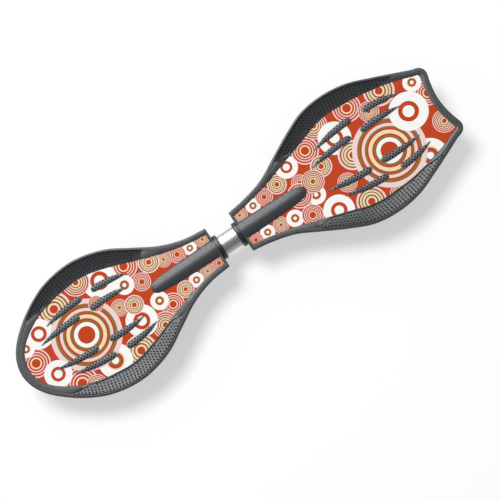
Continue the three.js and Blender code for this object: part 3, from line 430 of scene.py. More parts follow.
def printed_sheet(name, deck):
    """Reverse-printed sheet under a clear satin face: flat inks in overlapping rings, slight orange peel."""
    material, tree, place = begin_material(name)
    ground = tuple(colours().print_ground)
    inks = {ink: linear(value) for ink, value in PRINT_INKS.items()} | {"ORANGE": ground}
    flat = add(tree, "ShaderNodeVectorMath", {0: place, 1: (1, 1, 0)}, operation="MULTIPLY").outputs["Vector"]
    colour = ground
    way, neck = DECKS[deck]["way"], DECKS[deck]["neck"]
    for along, left, radius, style in PRINT_RINGS[deck]:
        centre = ((neck + way * along) * MM, way * left * MM, 0)
        away = add(tree, "ShaderNodeVectorMath", {0: flat, 1: centre}, operation="DISTANCE").outputs["Value"]
        share = add(tree, "ShaderNodeMath", {0: away, 1: radius * MM}, operation="DIVIDE").outputs["Value"]
        rings = add(tree, "ShaderNodeValToRGB", {"Fac": share})
        rings.color_ramp.interpolation = "CONSTANT"
        stops = rings.color_ramp.elements
        while len(stops) < len(RING_STYLES[style]):
            stops.new(1.0)
        for stop, (start, ink) in zip(stops, RING_STYLES[style]):
            stop.position = start
            stop.color = inks[ink]
        inside = add(tree, "ShaderNodeMath", {0: share, 1: 1.0}, operation="LESS_THAN").outputs["Value"]
        layer = add(tree, "ShaderNodeMix", {"Factor": inside, MIX_FROM: colour,
                                            MIX_TO: rings.outputs["Color"]}, data_type="RGBA")
        colour = layer.outputs[MIX_OUT]
    peel = speckle(tree, place, 3.0, 1.0)
    sheen = add(tree, "ShaderNodeMapRange", {"Value": peel, "To Min": 0.2, "To Max": 0.26})
    relief = add(tree, "ShaderNodeBump", {"Height": peel, "Distance": 0.01 * MM, "Strength": 1.0})
    end_material(tree, {"Base Color": colour, "Roughness": sheen.outputs["Result"],
                        "Normal": relief.outputs["Normal"], "Specular IOR Level": 0.3})
    return material


MATERIALS = {}


def finishes():
    """The board's materials by the record's slots, made once."""
    if not MATERIALS:
        hue = colours()
        metal = {"Metallic": 1.0}
        MATERIALS.update({
            # Decks and clamps: satin slate grey with a fine pebble.
            "deck_plastic": pebbled("moulded_polypropylene", hue.deck, 0.9, 0.42),
            # The ribs' own moulding, paler and duller.
            "rib_plastic": pebbled("ribbed_polypropylene", hue.rib, 0.9, 0.5),
            # Collars: black, closer in its grain.
            "collar_plastic": pebbled("moulded_acetal", hue.collar, 0.6, 0.4),
            # Hubs: near black and dulled by the glass in it.
            "hub_plastic": pebbled("glass_filled_nylon", hue.hub, 0.7, 0.46),
            "tube_aluminium": anodised_aluminium("anodised_aluminium", hue.tube),
            # Soft thermoplastic rubber: dark, matt, with a dusty bloom. It is the pips' own colour, and also
            # the painted shade laid in the grooves round the pip fields.
            "pip_rubber_and_groove_shade": drifting("moulded_rubber_and_groove_shade", 6.0, 2.0, (hue.pip, shade(hue.pip, 1.5)), (0.72, 0.86),
                                   {"Specular IOR Level": 0.3}),
            # Cast urethane tyre: glossy smoke grey with a hint of light in it.
            "wheel_urethane": drifting("cast_urethane", 14.0, 2.0,
                                       (shade(hue.tyre, 0.85), shade(hue.tyre, 1.2)), (0.24, 0.36),
                                       {"Coat Weight": 0.15}),
            # Turned nylon bush: milky, with a soft sheen.
            "nylon": drifting("turned_nylon", 5.0, 2.0, (linear("#d6d2c4"), linear("#e6e3d8")), (0.4, 0.55)),
            # Bright zinc with clear passivation: a silver grey with cloudy blue and yellow tints.
            "zinc_steel": drifting("zinc_plated_steel", 9.0, 3.0, (linear("#b3b9c2"), linear("#c6c3b6")),
                                   (0.28, 0.44), metal, (0.8, 0.008)),
            # Bearing and bolt steel, ground fine: darker than zinc and clearer in its reflections.
            "bright_steel": drifting("ground_steel", 0.6, 2.0, (linear("#8b8f95"), linear("#a6a9ad")),
                                     (0.2, 0.34), metal),
            # Black oxide on screws: near black, oily, with brown where it is thin.
            "black_steel": drifting("black_oxide_steel", 2.0, 3.0, (linear("#1d1f21"), linear("#37322c")),
                                    (0.34, 0.5), {"Metallic": 0.8}),
            # Oil-tempered spring wire: blue grey and faintly drawn.
            "spring_steel": drifting("oil_tempered_wire", 4.0, 2.0, (linear("#50555f"), linear("#6d675e")),
                                     (0.36, 0.5), metal),
            "nose_print": printed_sheet("nose_printed_sheet", "nose"),
            "tail_print": printed_sheet("tail_printed_sheet", "tail"),
        })
    return MATERIALS


# Modelling.

def dress(node, finish):
    """A node whose shape is right keeps it and takes a finish."""
    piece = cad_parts[node]
    piece.data.materials.clear()
    piece.data.materials.append(finishes()[finish])


def finish_piece(name, bm, body, slot, replaced=(), finish=None, smooth_degrees=35, flats=False):
    """Turns a bmesh into a named piece on its body, with its finish, and hides the nodes it stands for."""
    mesh = bpy.data.meshes.new(name)
    bm.to_mesh(mesh)
    bm.free()
    mesh.polygons.foreach_set("use_smooth", [True] * len(mesh.polygons))
    mesh.set_sharp_from_angle(angle=math.radians(smooth_degrees))
    mesh.materials.append(finishes()[finish or slot])
    piece = bpy.data.objects.new(name, mesh)
    bpy.context.scene.collection.objects.link(piece)
    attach(piece, body)
    if flats:
        even = piece.modifiers.new("flat_faces_stay_flat", "WEIGHTED_NORMAL")
        even.keep_sharp = True
    if replaced:
        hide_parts(*replaced)
    return piece


def merged_copy(node):
    """A node's solid with its corners joined and its flat faces whole."""
    bm = bmesh.new()
    bm.from_mesh(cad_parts[node].data)
    bmesh.ops.remove_doubles(bm, verts=bm.verts, dist=JOIN_MM * MM)
    return bm


def soften(bm, width, segments=2, degrees=35):
    """Rounds each edge sharper than an angle."""
    limit = math.radians(degrees)
    edges = [edge for edge in bm.edges if edge.is_manifold and edge.calc_face_angle() > limit]
    if edges and width > 0:
        bmesh.ops.bevel(bm, geom=edges, offset=width, offset_type="OFFSET", affect="EDGES", segments=segments,
                        profile=0.5, material=-1, clamp_overlap=True)


def section_loop(bm, spots):
    """The closed line through the places of a cross-section."""
    verts = [bm.verts.new(spot) for spot in spots]
    return [bm.edges.new(pair) for pair in zip(verts, verts[1:] + verts[:1])]


def bridged(bm, loops):
    """Skins each loop of edges to the next."""
    for low, high in zip(loops, loops[1:]):
        bmesh.ops.bridge_loops(bm, edges=low + high)


def turned(profile_mm, sides):
    """A solid turned about Z from a closed profile of (radius, height)."""
    bm = bmesh.new()
    edges = section_loop(bm, [(radius * MM, 0, height * MM) for radius, height in profile_mm])
    bmesh.ops.spin(bm, geom=bm.verts[:] + edges, cent=(0, 0, 0), axis=(0, 0, 1), angle=2 * math.pi,
                   steps=sides, use_merge=True)
    bmesh.ops.remove_doubles(bm, verts=bm.verts, dist=JOIN_MM * MM)
    bmesh.ops.recalc_face_normals(bm, faces=bm.faces)
    return bm


def placed(bm, matrix):
    bmesh.ops.transform(bm, matrix=matrix, verts=bm.verts)
    return bm


def joined(*parts):
    """Several closed shells in one mesh."""
    whole = bmesh.new()
    for part in parts:
        mesh = bpy.data.meshes.new("part")
        part.to_mesh(mesh)
        part.free()
        whole.from_mesh(mesh)
        bpy.data.meshes.remove(mesh)
    return whole


def loft(bm, rings, closed=False):
    """One skin over rings of (sides, place of a unit circle), with flat ends or closed on itself."""
    loops = []
    for at, (sides, place) in enumerate(rings):
        end = not closed and at in (0, len(rings) - 1)
        ring = bmesh.ops.create_circle(bm, cap_ends=end, segments=sides, radius=1.0, matrix=place)
        loops.append(list({edge for vert in ring["verts"] for edge in vert.link_edges}))
    bridged(bm, loops + loops[:1] if closed else loops)


def stacked(rings_mm, closed=False):
    """A solid on Z from rings of (radius, height): round ones, unless a third number gives their sides."""
    bm = bmesh.new()
    places = []
    for radius, height, *sides in rings_mm:
        size = Matrix.Diagonal((radius * MM, radius * MM, 1, 1))
        places.append((sides[0] if sides else ROUND_SIDES, Matrix.Translation((0, 0, height * MM)) @ size))
    loft(bm, places, closed)
    bmesh.ops.recalc_face_normals(bm, faces=bm.faces)
    return bm


def hex_bolt(head, top, face, shank, end):
    """A bolt on Z from its head's top to its end, with the round chamfer that a hex head has."""
    way = 1 if end > face else -1
    chamfer, flats = HEX_CHAMFER_MM, head * math.cos(math.pi / 6)
    return stacked([(flats * HEX_ROUND_SHARE, top), (head, top + way * chamfer, 6), (head, face, 6),
                    (shank, face + way * HEAD_FILLET_MM), (shank, end - way * chamfer),
                    (shank - chamfer, end)])


def lock_nut(head, bore, low, high):
    """A nut on Z, chamfered at both faces, with a round collar at its low end that holds a nylon ring."""
    chamfer, flats = HEX_CHAMFER_MM, head * math.cos(math.pi / 6)
    collar = low + (high - low) * NYLON_HEIGHT_SHARE
    nylon, mouth = NYLON_SHARES
    return stacked([(bore, high), (flats * HEX_ROUND_SHARE, high), (head, high - chamfer, 6),
                    (head, collar, 6), (flats * HEX_ROUND_SHARE, collar), (flats * nylon, low + chamfer),
                    (flats * mouth, low), (bore, low)], closed=True)


def socket_screw(length):
    """A button-head screw that points up, with a chamfered end."""
    return stacked([*SCREW_HEAD_MM, (SCREW_SHANK_MM, length - SCREW_CHAMFER_MM),
                    (SCREW_SHANK_MM - SCREW_CHAMFER_MM, length)])


ALONG_X = Matrix.Rotation(math.pi / 2, 4, "Y")
ALONG_Y = Matrix.Rotation(-math.pi / 2, 4, "X")


def caster_place(end):
    """A caster's own frame, its +Z on the swivel axis."""
    return Matrix.Translation((CASTERS[end][1] * MM, 0, CASTER_FOOT_MM * MM)) @ Matrix.Rotation(RAKE, 4, "Y")


def wheel_place(end):
    """The wheel's frame, its +Z along the axle to the left."""
    return caster_place(end) @ Matrix.Translation((-CASTER_OFFSET_MM * MM, 0, 0)) @ ALONG_Y


def deck_place(deck, height_mm=TUBE_HEIGHT_MM):
    """A deck's own frame at its neck, on the tube's middle line or at another height."""
    turn = Matrix.Rotation(0 if DECKS[deck]["way"] > 0 else math.pi, 4, "Z")
    return Matrix.Translation((DECKS[deck]["neck"] * MM, 0, height_mm * MM)) @ turn


def deck_point(deck, along, left, height):
    """A place on a deck, by its distance from the neck and to the left, in metres."""
    part = DECKS[deck]
    return Vector(((part["neck"] + part["way"] * along) * MM, part["way"] * left * MM, height * MM))


def smooth_share(value, low, high):
    share = min(1.0, max(0.0, (value - low) / (high - low)))
    return share * share * (3 - 2 * share)


def kick_mm(deck, along):
    """How far a deck's floor has risen towards its tip."""
    past = max(0.0, along / DECKS[deck]["length"] - KICK_START_SHARE) / (1 - KICK_START_SHARE)
    return KICK_RISE_MM * past * past


def rim_swell(deck, share):
    """How far the rim has swollen from its plain width to its width beside the feet."""
    return smooth_share(share, *RIM_RISE_SHARES) * (1 - smooth_share(share, *DECKS[deck]["fall"]))


def rim_plan(deck, share):
    """The rim at a share of a deck's length: width, height, band's inner edge and groove's depth."""
    swell = rim_swell(deck, share)
    plain = NECK_RIM_MM + (DECKS[deck]["tip_rim"] - NECK_RIM_MM) * share
    width = plain + (SIDE_RIM_MM - plain) * swell
    opening = smooth_share(share, *BAND_START_SHARES) * (1 - smooth_share(share, *BAND_END_SHARES))
    closed = BEAD_MM + 2 * GROOVE_WIDTH_MM + GROOVE_LAND_MM
    inner = closed + max(0.0, width - BAND_MARGIN_MM - closed) * opening
    height = NECK_RIM_HEIGHT_MM + (SIDE_RIM_HEIGHT_MM - NECK_RIM_HEIGHT_MM) * swell
    return width, height, inner, GROOVE_DEPTH_MM * math.sqrt(opening)


def spline(points):
    """Places on a smooth curve through points, in even steps between each two of them."""
    ends = [2 * points[0] - points[1], *points, 2 * points[-1] - points[-2]]
    places = []
    for before, start, end, after in zip(ends, ends[1:], ends[2:], ends[3:]):
        into, over, out = (math.sqrt((high - low).length)
                           for low, high in ((before, start), (start, end), (end, after)))
        leave = ((start - before) / into - (end - before) / (into + over) + (end - start) / over) * over
        arrive = ((end - start) / over - (after - start) / (over + out) + (after - end) / out) * over
        places += interpolate_bezier(start, start + leave / 3, end - arrive / 3, end, OUTLINE_STEPS + 1)[:-1]
    return [*places, points[-1].copy()]


def outline_points(deck):
    """The points of a deck's outline, from its left neck corner round the tip to the right one."""
    part = DECKS[deck]
    length, half = part["length"], part["width"] / 2
    points = [(along * length, NECK_HALF_MM + widening * (half - NECK_HALF_MM))
              for along, widening in FLARE_SHARES[deck]]
    points += [(along * length, across * half) for along, across in TAPER_SHARES[deck]]
    if deck == "tail":
        middle = TAIL_CORNER_SHARE * half - TAIL_CORNER_RADIUS_MM
        for angle in map(math.radians, TAIL_CORNER_DEGREES):
            points.append((length - TAIL_CORNER_RADIUS_MM * (1 - math.cos(angle)),
                           middle + TAIL_CORNER_RADIUS_MM * math.sin(angle)))
        points += [(length - depth * NOTCH_DEPTH_MM, across * middle) for across, depth in NOTCH_SHARES]
    left = [Vector((x, y, 0)) for x, y in points]
    return left + [Vector((point.x, -point.y, 0)) for point in reversed(left[:-1])]


def rim_stations(deck):
    """Fine places round a deck's outline, each with the way outward, as the frame's own stations have it."""
    places = spline(outline_points(deck))
    last, half = len(places) - 1, OUTLINE_STEPS // 2
    ways = {0: Vector((-NECK_RIM_SHARE, 1, 0)), last: Vector((-NECK_RIM_SHARE, -1, 0))}
    for at in range(half, last, half):
        run = (places[at + 1] - places[at - 1]).normalized()
        ways[at] = Vector((-run.y, run.x, 0))
    stations = []
    for at, place in enumerate(places):
        low = min(at // half * half, last - half)
        stations.append((place, ways[low].lerp(ways[low + half], (at - low) / half)))
    return stations


def rim_sides(deck):
    """The stations down the left and the right side of a deck, each from the neck."""
    stations = rim_stations(deck)
    half = len(stations) // 2
    return stations[:half], stations[:half:-1]


def rim_point(deck, place, way, inset, rise):
    """A place on the rim, by its inset from a station and its rise over the floor."""
    spot = place - way * inset
    return deck_point(deck, spot.x, spot.y, FLOOR_MM + kick_mm(deck, spot.x) + rise)


def band_rise(plan, inset):
    """Rise of the rim's upper face, which falls from the bead to the lip."""
    width, height, _, _ = plan
    return height - (height - LIP_HEIGHT_MM) * (inset - BEAD_MM) / (width - BEAD_MM)


def bead_round(groove):
    """Radius of the bead's inner edge over a groove of some depth."""
    return max(BEAD_ROUND_MM[0], min(BEAD_ROUND_MM[1], groove / 2))


def rim_section(deck, place, way):
    """The rim's cross-section at a station: lip, grip band, bead and skirt, then back inside."""
    plan = rim_plan(deck, place.x / DECKS[deck]["length"])
    width, height, inner, groove = plan
    skin, edge = SKIN_MM, SKIN_MM / 2
    rows = [(width, -SKIN_DEPTH_MM), (width + edge, LIP_HEIGHT_MM - edge),
            (width - LIP_DRAFT_MM, LIP_HEIGHT_MM + skin),
            (inner + edge, band_rise(plan, inner) + skin), (inner - skin, band_rise(plan, inner) + edge),
            (inner - GROOVE_WIDTH_MM, band_rise(plan, inner) - groove + skin),
            (inner - GROOVE_WIDTH_MM - skin, band_rise(plan, inner - skin) - groove + skin),
            (BEAD_MM + GROOVE_WIDTH_MM + skin, band_rise(plan, BEAD_MM + skin) - groove + skin),
            (BEAD_MM + GROOVE_WIDTH_MM, band_rise(plan, BEAD_MM) - groove + 2 * skin)]
    corner = bead_round(groove)
    for angle in map(math.radians, BEAD_ROUND_DEGREES):
        rows.append((BEAD_MM + skin - corner * (1 - math.cos(angle)),
                     height + skin - corner * (1 - math.sin(angle))))
    rows += [(BEAD_MM * across - skin, height * rise + skin) for across, rise in BEAD_SHARES]
    wall = SKIRT_TUCK_MM + SKIRT_WALL_MM
    rows += [(SKIRT_TUCK_MM - skin, edge - SKIRT_DEPTH_MM), (SKIRT_TUCK_MM, -SKIRT_DEPTH_MM - skin),
             (wall, -SKIRT_DEPTH_MM - skin), (wall + edge, edge - SKIRT_DEPTH_MM),
             (SKIRT_TUCK_MM + SKIRT_WALL_MM / 2, SKIN_DEPTH_MM - SKIRT_DEPTH_MM),
             (SKIRT_WALL_MM / 2, -SKIN_DEPTH_MM)]
    return [rim_point(deck, place, way, inset, rise) for inset, rise in rows]


def rim_skin(deck):
    """The moulded rim as one smooth skin, lofted through cross-sections all round the deck."""
    bm = bmesh.new()
    loops = [section_loop(bm, rim_section(deck, place, way)) for place, way in rim_stations(deck)]
    bridged(bm, loops + loops[:1])
    bmesh.ops.recalc_face_normals(bm, faces=bm.faces)
    return bm


def painted_groove_shade(deck):
    """Painted shade in the grooves round each pip field: two thin dark strips on the groove walls, in the
    pips' black rubber, that meet where the field runs out.
    """
    bm = bmesh.new()
    for side in rim_sides(deck):
        for inward in (False, True):
            loops = []
            for place, way in side:
                plan = rim_plan(deck, place.x / DECKS[deck]["length"])
                _, _, inner, groove = plan
                if groove < GROOVE_SHADE_FROM_MM:
                    continue
                if inward:
                    top, ends = inner, ((inner, 0), (inner - GROOVE_WIDTH_MM, groove))
                else:
                    top, ends = BEAD_MM, ((BEAD_MM + GROOVE_WIDTH_MM, groove), (BEAD_MM, bead_round(groove)))
                low, high = ([rim_point(deck, place, way, inset, band_rise(plan, top) - sink + lift)
                              for lift in GROOVE_SHADE_LIFTS_MM] for inset, sink in ends)
                loops.append(section_loop(bm, low + high[::-1]))
            bridged(bm, loops)
            bmesh.ops.holes_fill(bm, edges=loops[0] + loops[-1], sides=4)
    bmesh.ops.recalc_face_normals(bm, faces=bm.faces)
    return bm


def tucked_under(deck, shell):
    """Draws a deck's solid in a little at its outside, where the smooth rim and housing cover it."""
    shell.normal_update()
    into_deck = deck_place(deck).inverted()
    edge = [place for place, _ in rim_stations(deck)]
    covered = []
    for vert in shell.verts:
        place = into_deck @ vert.co / MM
        over_panel = place.z > FLOOR_MM - TUBE_HEIGHT_MM + LIP_HEIGHT_MM
        flat = Vector((place.x, place.y, 0))
        if over_panel or min((flat - spot).length for spot in edge) < SKIRT_TUCK_MM + SKIRT_WALL_MM / 2:
            covered.append(vert)
    for vert in covered:
        vert.co -= vert.normal * TUCK_MM * MM


def housing_skin(deck):
    """The long rounded housing over the tube, down to where its clamp meets it."""
    outer = [(radius * HOUSING_RADIUS_MM + SKIN_MM * (radius > 0),
              along * HOUSING_LENGTH_MM + SKIN_MM * (along > 0)) for along, radius in HOUSING_SHARES]
    inner = [(max(0.0, radius * HOUSING_RADIUS_MM - HOUSING_WALL_MM),
              along * (HOUSING_LENGTH_MM - HOUSING_WALL_MM)) for along, radius in reversed(HOUSING_SHARES)]
    bm = turned(outer + inner, LARGE_SIDES)
    bmesh.ops.delete(bm, geom=[edge for edge in bm.edges if not edge.link_faces], context="EDGES")
    placed(bm, deck_place(deck) @ ALONG_X)
    cut = bmesh.ops.bisect_plane(bm, geom=bm.verts[:] + bm.edges[:] + bm.faces[:],
                                 plane_co=(0, 0, TUBE_HEIGHT_MM * MM), plane_no=(0, 0, 1), clear_inner=True)
    edges = [item for item in cut["geom_cut"] if isinstance(item, bmesh.types.BMEdge)]
    bmesh.ops.edgeloop_fill(bm, edges=edges)
    bmesh.ops.recalc_face_normals(bm, faces=bm.faces)
    return bm


def rib_half_mm(share):
    """Half the width of a rib at a share of its length, read between its stations."""
    (low, thin, _), (high, wide, _) = next(pair for pair in zip(RIB_STATIONS, RIB_STATIONS[1:])
                                           if share <= pair[1][0])
    return (thin + (wide - thin) * (share - low) / (high - low)) * RIB_HALF_WIDTH_MM


def rib_lines(deck):
    """Each grip rib's start, line to its tip, way across and bow, in its deck's own millimetres."""
    part = DECKS[deck]
    for blunt, tip in RIBS[deck]:
        for side in (1, -1):
            start = Vector((blunt[0] * part["length"], side * blunt[1] * part["width"] / 2))
            end = Vector((tip[0] * part["length"], side * tip[1] * part["width"] / 2))
            line = end - start
            across = Vector((-line.y, line.x)).normalized()
            bow = across * (RIB_BOW_MM if (across.y > 0) == (side > 0) else -RIB_BOW_MM)
            yield start, line, across, bow


def rib_middle(start, line, bow, share):
    """A place down the middle of a bowed rib."""
    return start + line * share + bow * 4 * share * (1 - share)


def rib_shells(deck):
    """The grip ribs as rounded flames that stand out of the panel."""
    bm = bmesh.new()
    for start, line, across, bow in rib_lines(deck):
        axes = Matrix(((*across, 0), (0, 0, 1), (*line.normalized(), 0))).transposed().to_4x4()
        places = []
        for share, width, height in RIB_STATIONS:
            middle = rib_middle(start, line, bow, share)
            foot = PANEL_TOP_MM + kick_mm(deck, middle.x)
            place = deck_place(deck, 0) @ Matrix.Translation(Vector((middle.x, middle.y, foot)) * MM)
            half = Vector((RIB_HALF_WIDTH_MM * width, RIB_RISE_MM * height, 1)) * MM
            places.append((RIB_SIDES, place @ axes @ Matrix.Diagonal((*half, 1))))
        loft(bm, places)
    bmesh.ops.recalc_face_normals(bm, faces=bm.faces)
    return bm


def band_spots(deck):
    """Staggered rows of pips that follow the outline down both sides, as many as the band is wide."""
    size = sizes()
    row_mm, pitch_mm = size.pip_row / MM, size.pip_pitch / MM
    spots = []
    for side in rim_sides(deck):
        for row in range(int(SIDE_RIM_MM / row_mm)):
            inset = BEAD_MM + GROOVE_WIDTH_MM + PIP_MARGIN_MM + row * row_mm
            walked, wanted = 0.0, pitch_mm * (0.5 + 0.5 * (row % 2))
            path = [(place - way * inset, place.x / DECKS[deck]["length"]) for place, way in side]
            for (low, share), (high, _) in zip(path, path[1:]):
                step = (high - low).length
                while wanted <= walked + step:
                    spot = low.lerp(high, (wanted - walked) / step)
                    wanted += pitch_mm
                    _, _, inner, groove = rim_plan(deck, share)
                    if groove > 0 and inset < inner - GROOVE_WIDTH_MM - PIP_MARGIN_MM + PIP_SLACK_MM:
                        spots.append(deck_point(deck, spot.x, spot.y, FLOOR_MM))
                walked += step
    return spots


def rib_spots(deck):
    """Three staggered rows of pips along each grip rib, fewer where it narrows."""
    step_mm = sizes().pip_pitch / 2 / MM
    spots = []
    for start, line, across, bow in rib_lines(deck):
        count = int(line.length / step_mm)
        for step in range(1, count):
            share = step / count
            half = rib_half_mm(share)
            for offset in ((0,) if step % 2 else (-RIB_ROW_SHARE, RIB_ROW_SHARE)):
                if half < (RIB_ROWS_HALF_MM if offset else RIB_PIP_HALF_MM):
                    continue
                spot = rib_middle(start, line, bow, share) + across * offset * half
                spots.append(deck_point(deck, spot.x, spot.y, FLOOR_MM))
    return spots


def add_pip(bm, tree, spot):
    """A low cone with a flat crown, standing square to the plastic under the spot."""
    hit, normal, _, _ = tree.ray_cast(Vector((spot.x, spot.y, DROP_FROM_MM * MM)), Vector((0, 0, -1)))
    if hit is None or hit.z < DROP_TO_MM * MM:
        return
    size = sizes()
    sink = size.pip_height / 2
    turn = normal.to_track_quat("Z", "Y").to_matrix().to_4x4()
    place = Matrix.Translation(hit + normal * (size.pip_height - sink) / 2) @ turn
    bmesh.ops.create_cone(bm, cap_ends=True, segments=PIP_SIDES, depth=size.pip_height + sink, matrix=place,
                          radius1=size.pip_radius, radius2=size.pip_radius * PIP_CROWN_SHARE)


def cored_hub():
    """A rim under the tyre, a nose round the bearings, and a web with windows between them."""
    web = bmesh.new()
    low = Matrix.Translation((0, 0, -WEB_HALF_MM * MM))
    for radius in WEB_RADII_MM:
        bmesh.ops.create_circle(web, segments=MIDDLE_SIDES, radius=radius * MM, matrix=low)
    for at in range(WINDOWS):
        turn = Matrix.Rotation(math.radians(360 / WINDOWS * at), 4, "Z")
        bmesh.ops.create_circle(web, segments=WINDOW_SIDES, radius=WINDOW_RADIUS_MM * MM,
                                matrix=low @ turn @ Matrix.Translation((WINDOW_FROM_MM * MM, 0, 0)))
    bmesh.ops.triangle_fill(web, use_beauty=True, edges=web.edges)
    raised = bmesh.ops.extrude_face_region(web, geom=web.faces, use_keep_orig=True)["geom"]
    bmesh.ops.translate(web, verts=[item for item in raised if isinstance(item, bmesh.types.BMVert)],
                        vec=(0, 0, 2 * WEB_HALF_MM * MM))
    bmesh.ops.recalc_face_normals(web, faces=web.faces)
    return joined(turned(HUB_RIM_PROFILE_MM, MIDDLE_SIDES), turned(HUB_NOSE_PROFILE_MM, MIDDLE_SIDES), web)


def rounded_copy(node, width_mm, flat_degrees=2.0):
    """A node's solid with its flat faces whole and its sharp edges rounded."""
    bm = merged_copy(node)
    bmesh.ops.dissolve_limit(bm, angle_limit=math.radians(flat_degrees), verts=bm.verts, edges=bm.edges,
                             use_dissolve_boundaries=False)
    soften(bm, width_mm * MM)
    return bm


# Operators.

class BoardOperator:
    """What the board's operators share."""
    bl_options = {"REGISTER", "UNDO"}


class BOARD_OT_decks(BoardOperator, bpy.types.Operator):
    """Dress the two moulded decks and the clamps under them"""
    bl_idname = "board.decks"
    bl_label = "Decks and Clamps"

    def execute(self, context):
        for deck in DECKS:
            shell = rounded_copy(f"{deck}_deck", width_mm=0, flat_degrees=0.3)
            tucked_under(deck, shell)
            finish_piece(f"{deck}_deck_moulding", shell, deck, "deck_plastic", [f"{deck}_deck"], flats=True)
            finish_piece(f"{deck}_moulded_rim", rim_skin(deck), deck, "deck_plastic", smooth_degrees=38)
            finish_piece(f"{deck}_tube_housing", housing_skin(deck), deck, "deck_plastic")
            # Painted shade: thin dark strips on the walls of the grooves round the pip fields.
            finish_piece(f"{deck}_painted_groove_shade", painted_groove_shade(deck), deck, "deck_plastic", finish="pip_rubber_and_groove_shade")
            clamp = rounded_copy(f"{deck}_tube_clamp", PRESSED_ROUND_MM)
            finish_piece(f"{deck}_clamp_moulding", clamp, deck, "deck_plastic", [f"{deck}_tube_clamp"],
                         flats=True)
        return {"FINISHED"}


class BOARD_OT_panels(BoardOperator, bpy.types.Operator):
    """Print the two graphic panels"""
    bl_idname = "board.panels"
    bl_label = "Printed Panels"

    def execute(self, context):
        for deck in DECKS:
            node = f"{deck}_graphic_panel"
            finish_piece(f"{deck}_printed_panel", merged_copy(node), deck, "graphic_print", [node],
                         finish=f"{deck}_print", smooth_degrees=0)
        return {"FINISHED"}


class BOARD_OT_grip_ribs(BoardOperator, bpy.types.Operator):
    """Loft the rounded grip ribs between the feet"""
    bl_idname = "board.grip_ribs"
    bl_label = "Grip Ribs"

    def execute(self, context):
        for deck in DECKS:
            finish_piece(f"{deck}_grip_ribs", rib_shells(deck), deck, "deck_plastic", finish="rib_plastic",
                         smooth_degrees=60)
        return {"FINISHED"}


class BOARD_OT_grip_pips(BoardOperator, bpy.types.Operator):
    """Set rubber pips in rows on the grip bands and grip ribs"""
    bl_idname = "board.grip_pips"
    bl_label = "Grip Pips"

    def execute(self, context):
        for deck in DECKS:
            surface = joined(rim_skin(deck), rib_shells(deck))
            tree = BVHTree.FromBMesh(surface)
            surface.free()
            bm = bmesh.new()
            for spot in band_spots(deck) + rib_spots(deck):
                add_pip(bm, tree, spot)
            finish_piece(f"{deck}_grip_pips", bm, deck, "deck_plastic", finish="pip_rubber_and_groove_shade",
                         smooth_degrees=60)
        return {"FINISHED"}


class BOARD_OT_tube(BoardOperator, bpy.types.Operator):
    """Turn the torsion tube and its collars, and finish what lies inside"""
    bl_idname = "board.tube"
    bl_label = "Torsion Tube"

    def execute(self, context):
        middle = Matrix.Translation((TUBE_MIDDLE_MM * MM, 0, TUBE_HEIGHT_MM * MM))
        tube = turned(TUBE_PROFILE_MM, LARGE_SIDES)
        soften(tube, TUBE_ROUND_MM * MM)
        finish_piece("satin_torsion_tube", placed(tube, middle @ ALONG_X), "tail", "tube_aluminium",
                     ["torsion_tube"])
        for deck in DECKS:
            collar = turned(COLLAR_PROFILE_MM, LARGE_SIDES)
            soften(collar, sizes().edge_round)
            finish_piece(f"{deck}_collar_ring", placed(collar, deck_place(deck) @ ALONG_X), deck,
                         "collar_plastic", [f"{deck}_collar"])
        for node, finish in (("torsion_spring", "spring_steel"), ("tail_spring_plug", "bright_steel"),
                             ("nose_spring_anchor", "bright_steel"), ("outer_bush", "nylon"),
                             ("inner_bush", "nylon"), ("tube_retaining_ring", "spring_steel")):
            dress(node, finish)
        return {"FINISHED"}


class BOARD_OT_screws(BoardOperator, bpy.types.Operator):
    """Model the socket screws of the clamps and caster plates, and the hex bolts of tube and spring anchor"""
    bl_idname = "board.screws"
    bl_label = "Screws and Lock Bolts"

    def execute(self, context):
        for deck, (along, node) in LOCK_BOLTS.items():
            self.socket_screws(deck, "clamp", deck, deck_place(deck))
            bolt = placed(hex_bolt(**LOCK_BOLT), deck_place(deck) @ Matrix.Translation((along * MM, 0, 0)))
            finish_piece(f"{deck}_hex_lock_bolt", bolt, deck, "black_steel", [node])
        for end, (body, _) in CASTERS.items():
            self.socket_screws(end, "plate", body, caster_place(end))
        return {"FINISHED"}

    @staticmethod
    def socket_screws(end, part, body, place):
        """The four screws of a clamp or caster plate."""
        kind = SCREWS[part]
        spots = [(x, y) for x in kind["along"] for y in (kind["across"], -kind["across"])]
        for at, (x, y) in enumerate(spots, 1):
            spot = place @ Matrix.Translation(Vector((x, y, kind["face"])) * MM)
            finish_piece(f"{end}_{part}_socket_screw_{at}", placed(socket_screw(kind["length"]), spot), body,
                         "black_steel", [f"{end}_{part}_screw_{at}"])


class BOARD_OT_caster_mounts(BoardOperator, bpy.types.Operator):
    """Model the caster plates, kingpins with their nuts, and swivel bearings"""
    bl_idname = "board.caster_mounts"
    bl_label = "Caster Mounts"

    def execute(self, context):
        for end, (body, _) in CASTERS.items():
            place = caster_place(end)
            finish_piece(f"{end}_pressed_plate", rounded_copy(f"{end}_caster_plate", PRESSED_ROUND_MM), body,
                         "zinc_steel", [f"{end}_caster_plate"], flats=True)
            races = turned(RACES_PROFILE_MM, MIDDLE_SIDES)
            for name, node, bm in (("kingpin_bolt", "kingpin", hex_bolt(**KINGPIN)),
                                   ("kingpin_lock_nut", "kingpin_nut", lock_nut(**KINGPIN_NUT)),
                                   ("swivel_races", "swivel_bearing", races)):
                finish_piece(f"{end}_{name}", placed(bm, place), body, "bright_steel", [f"{end}_{node}"])
        return {"FINISHED"}


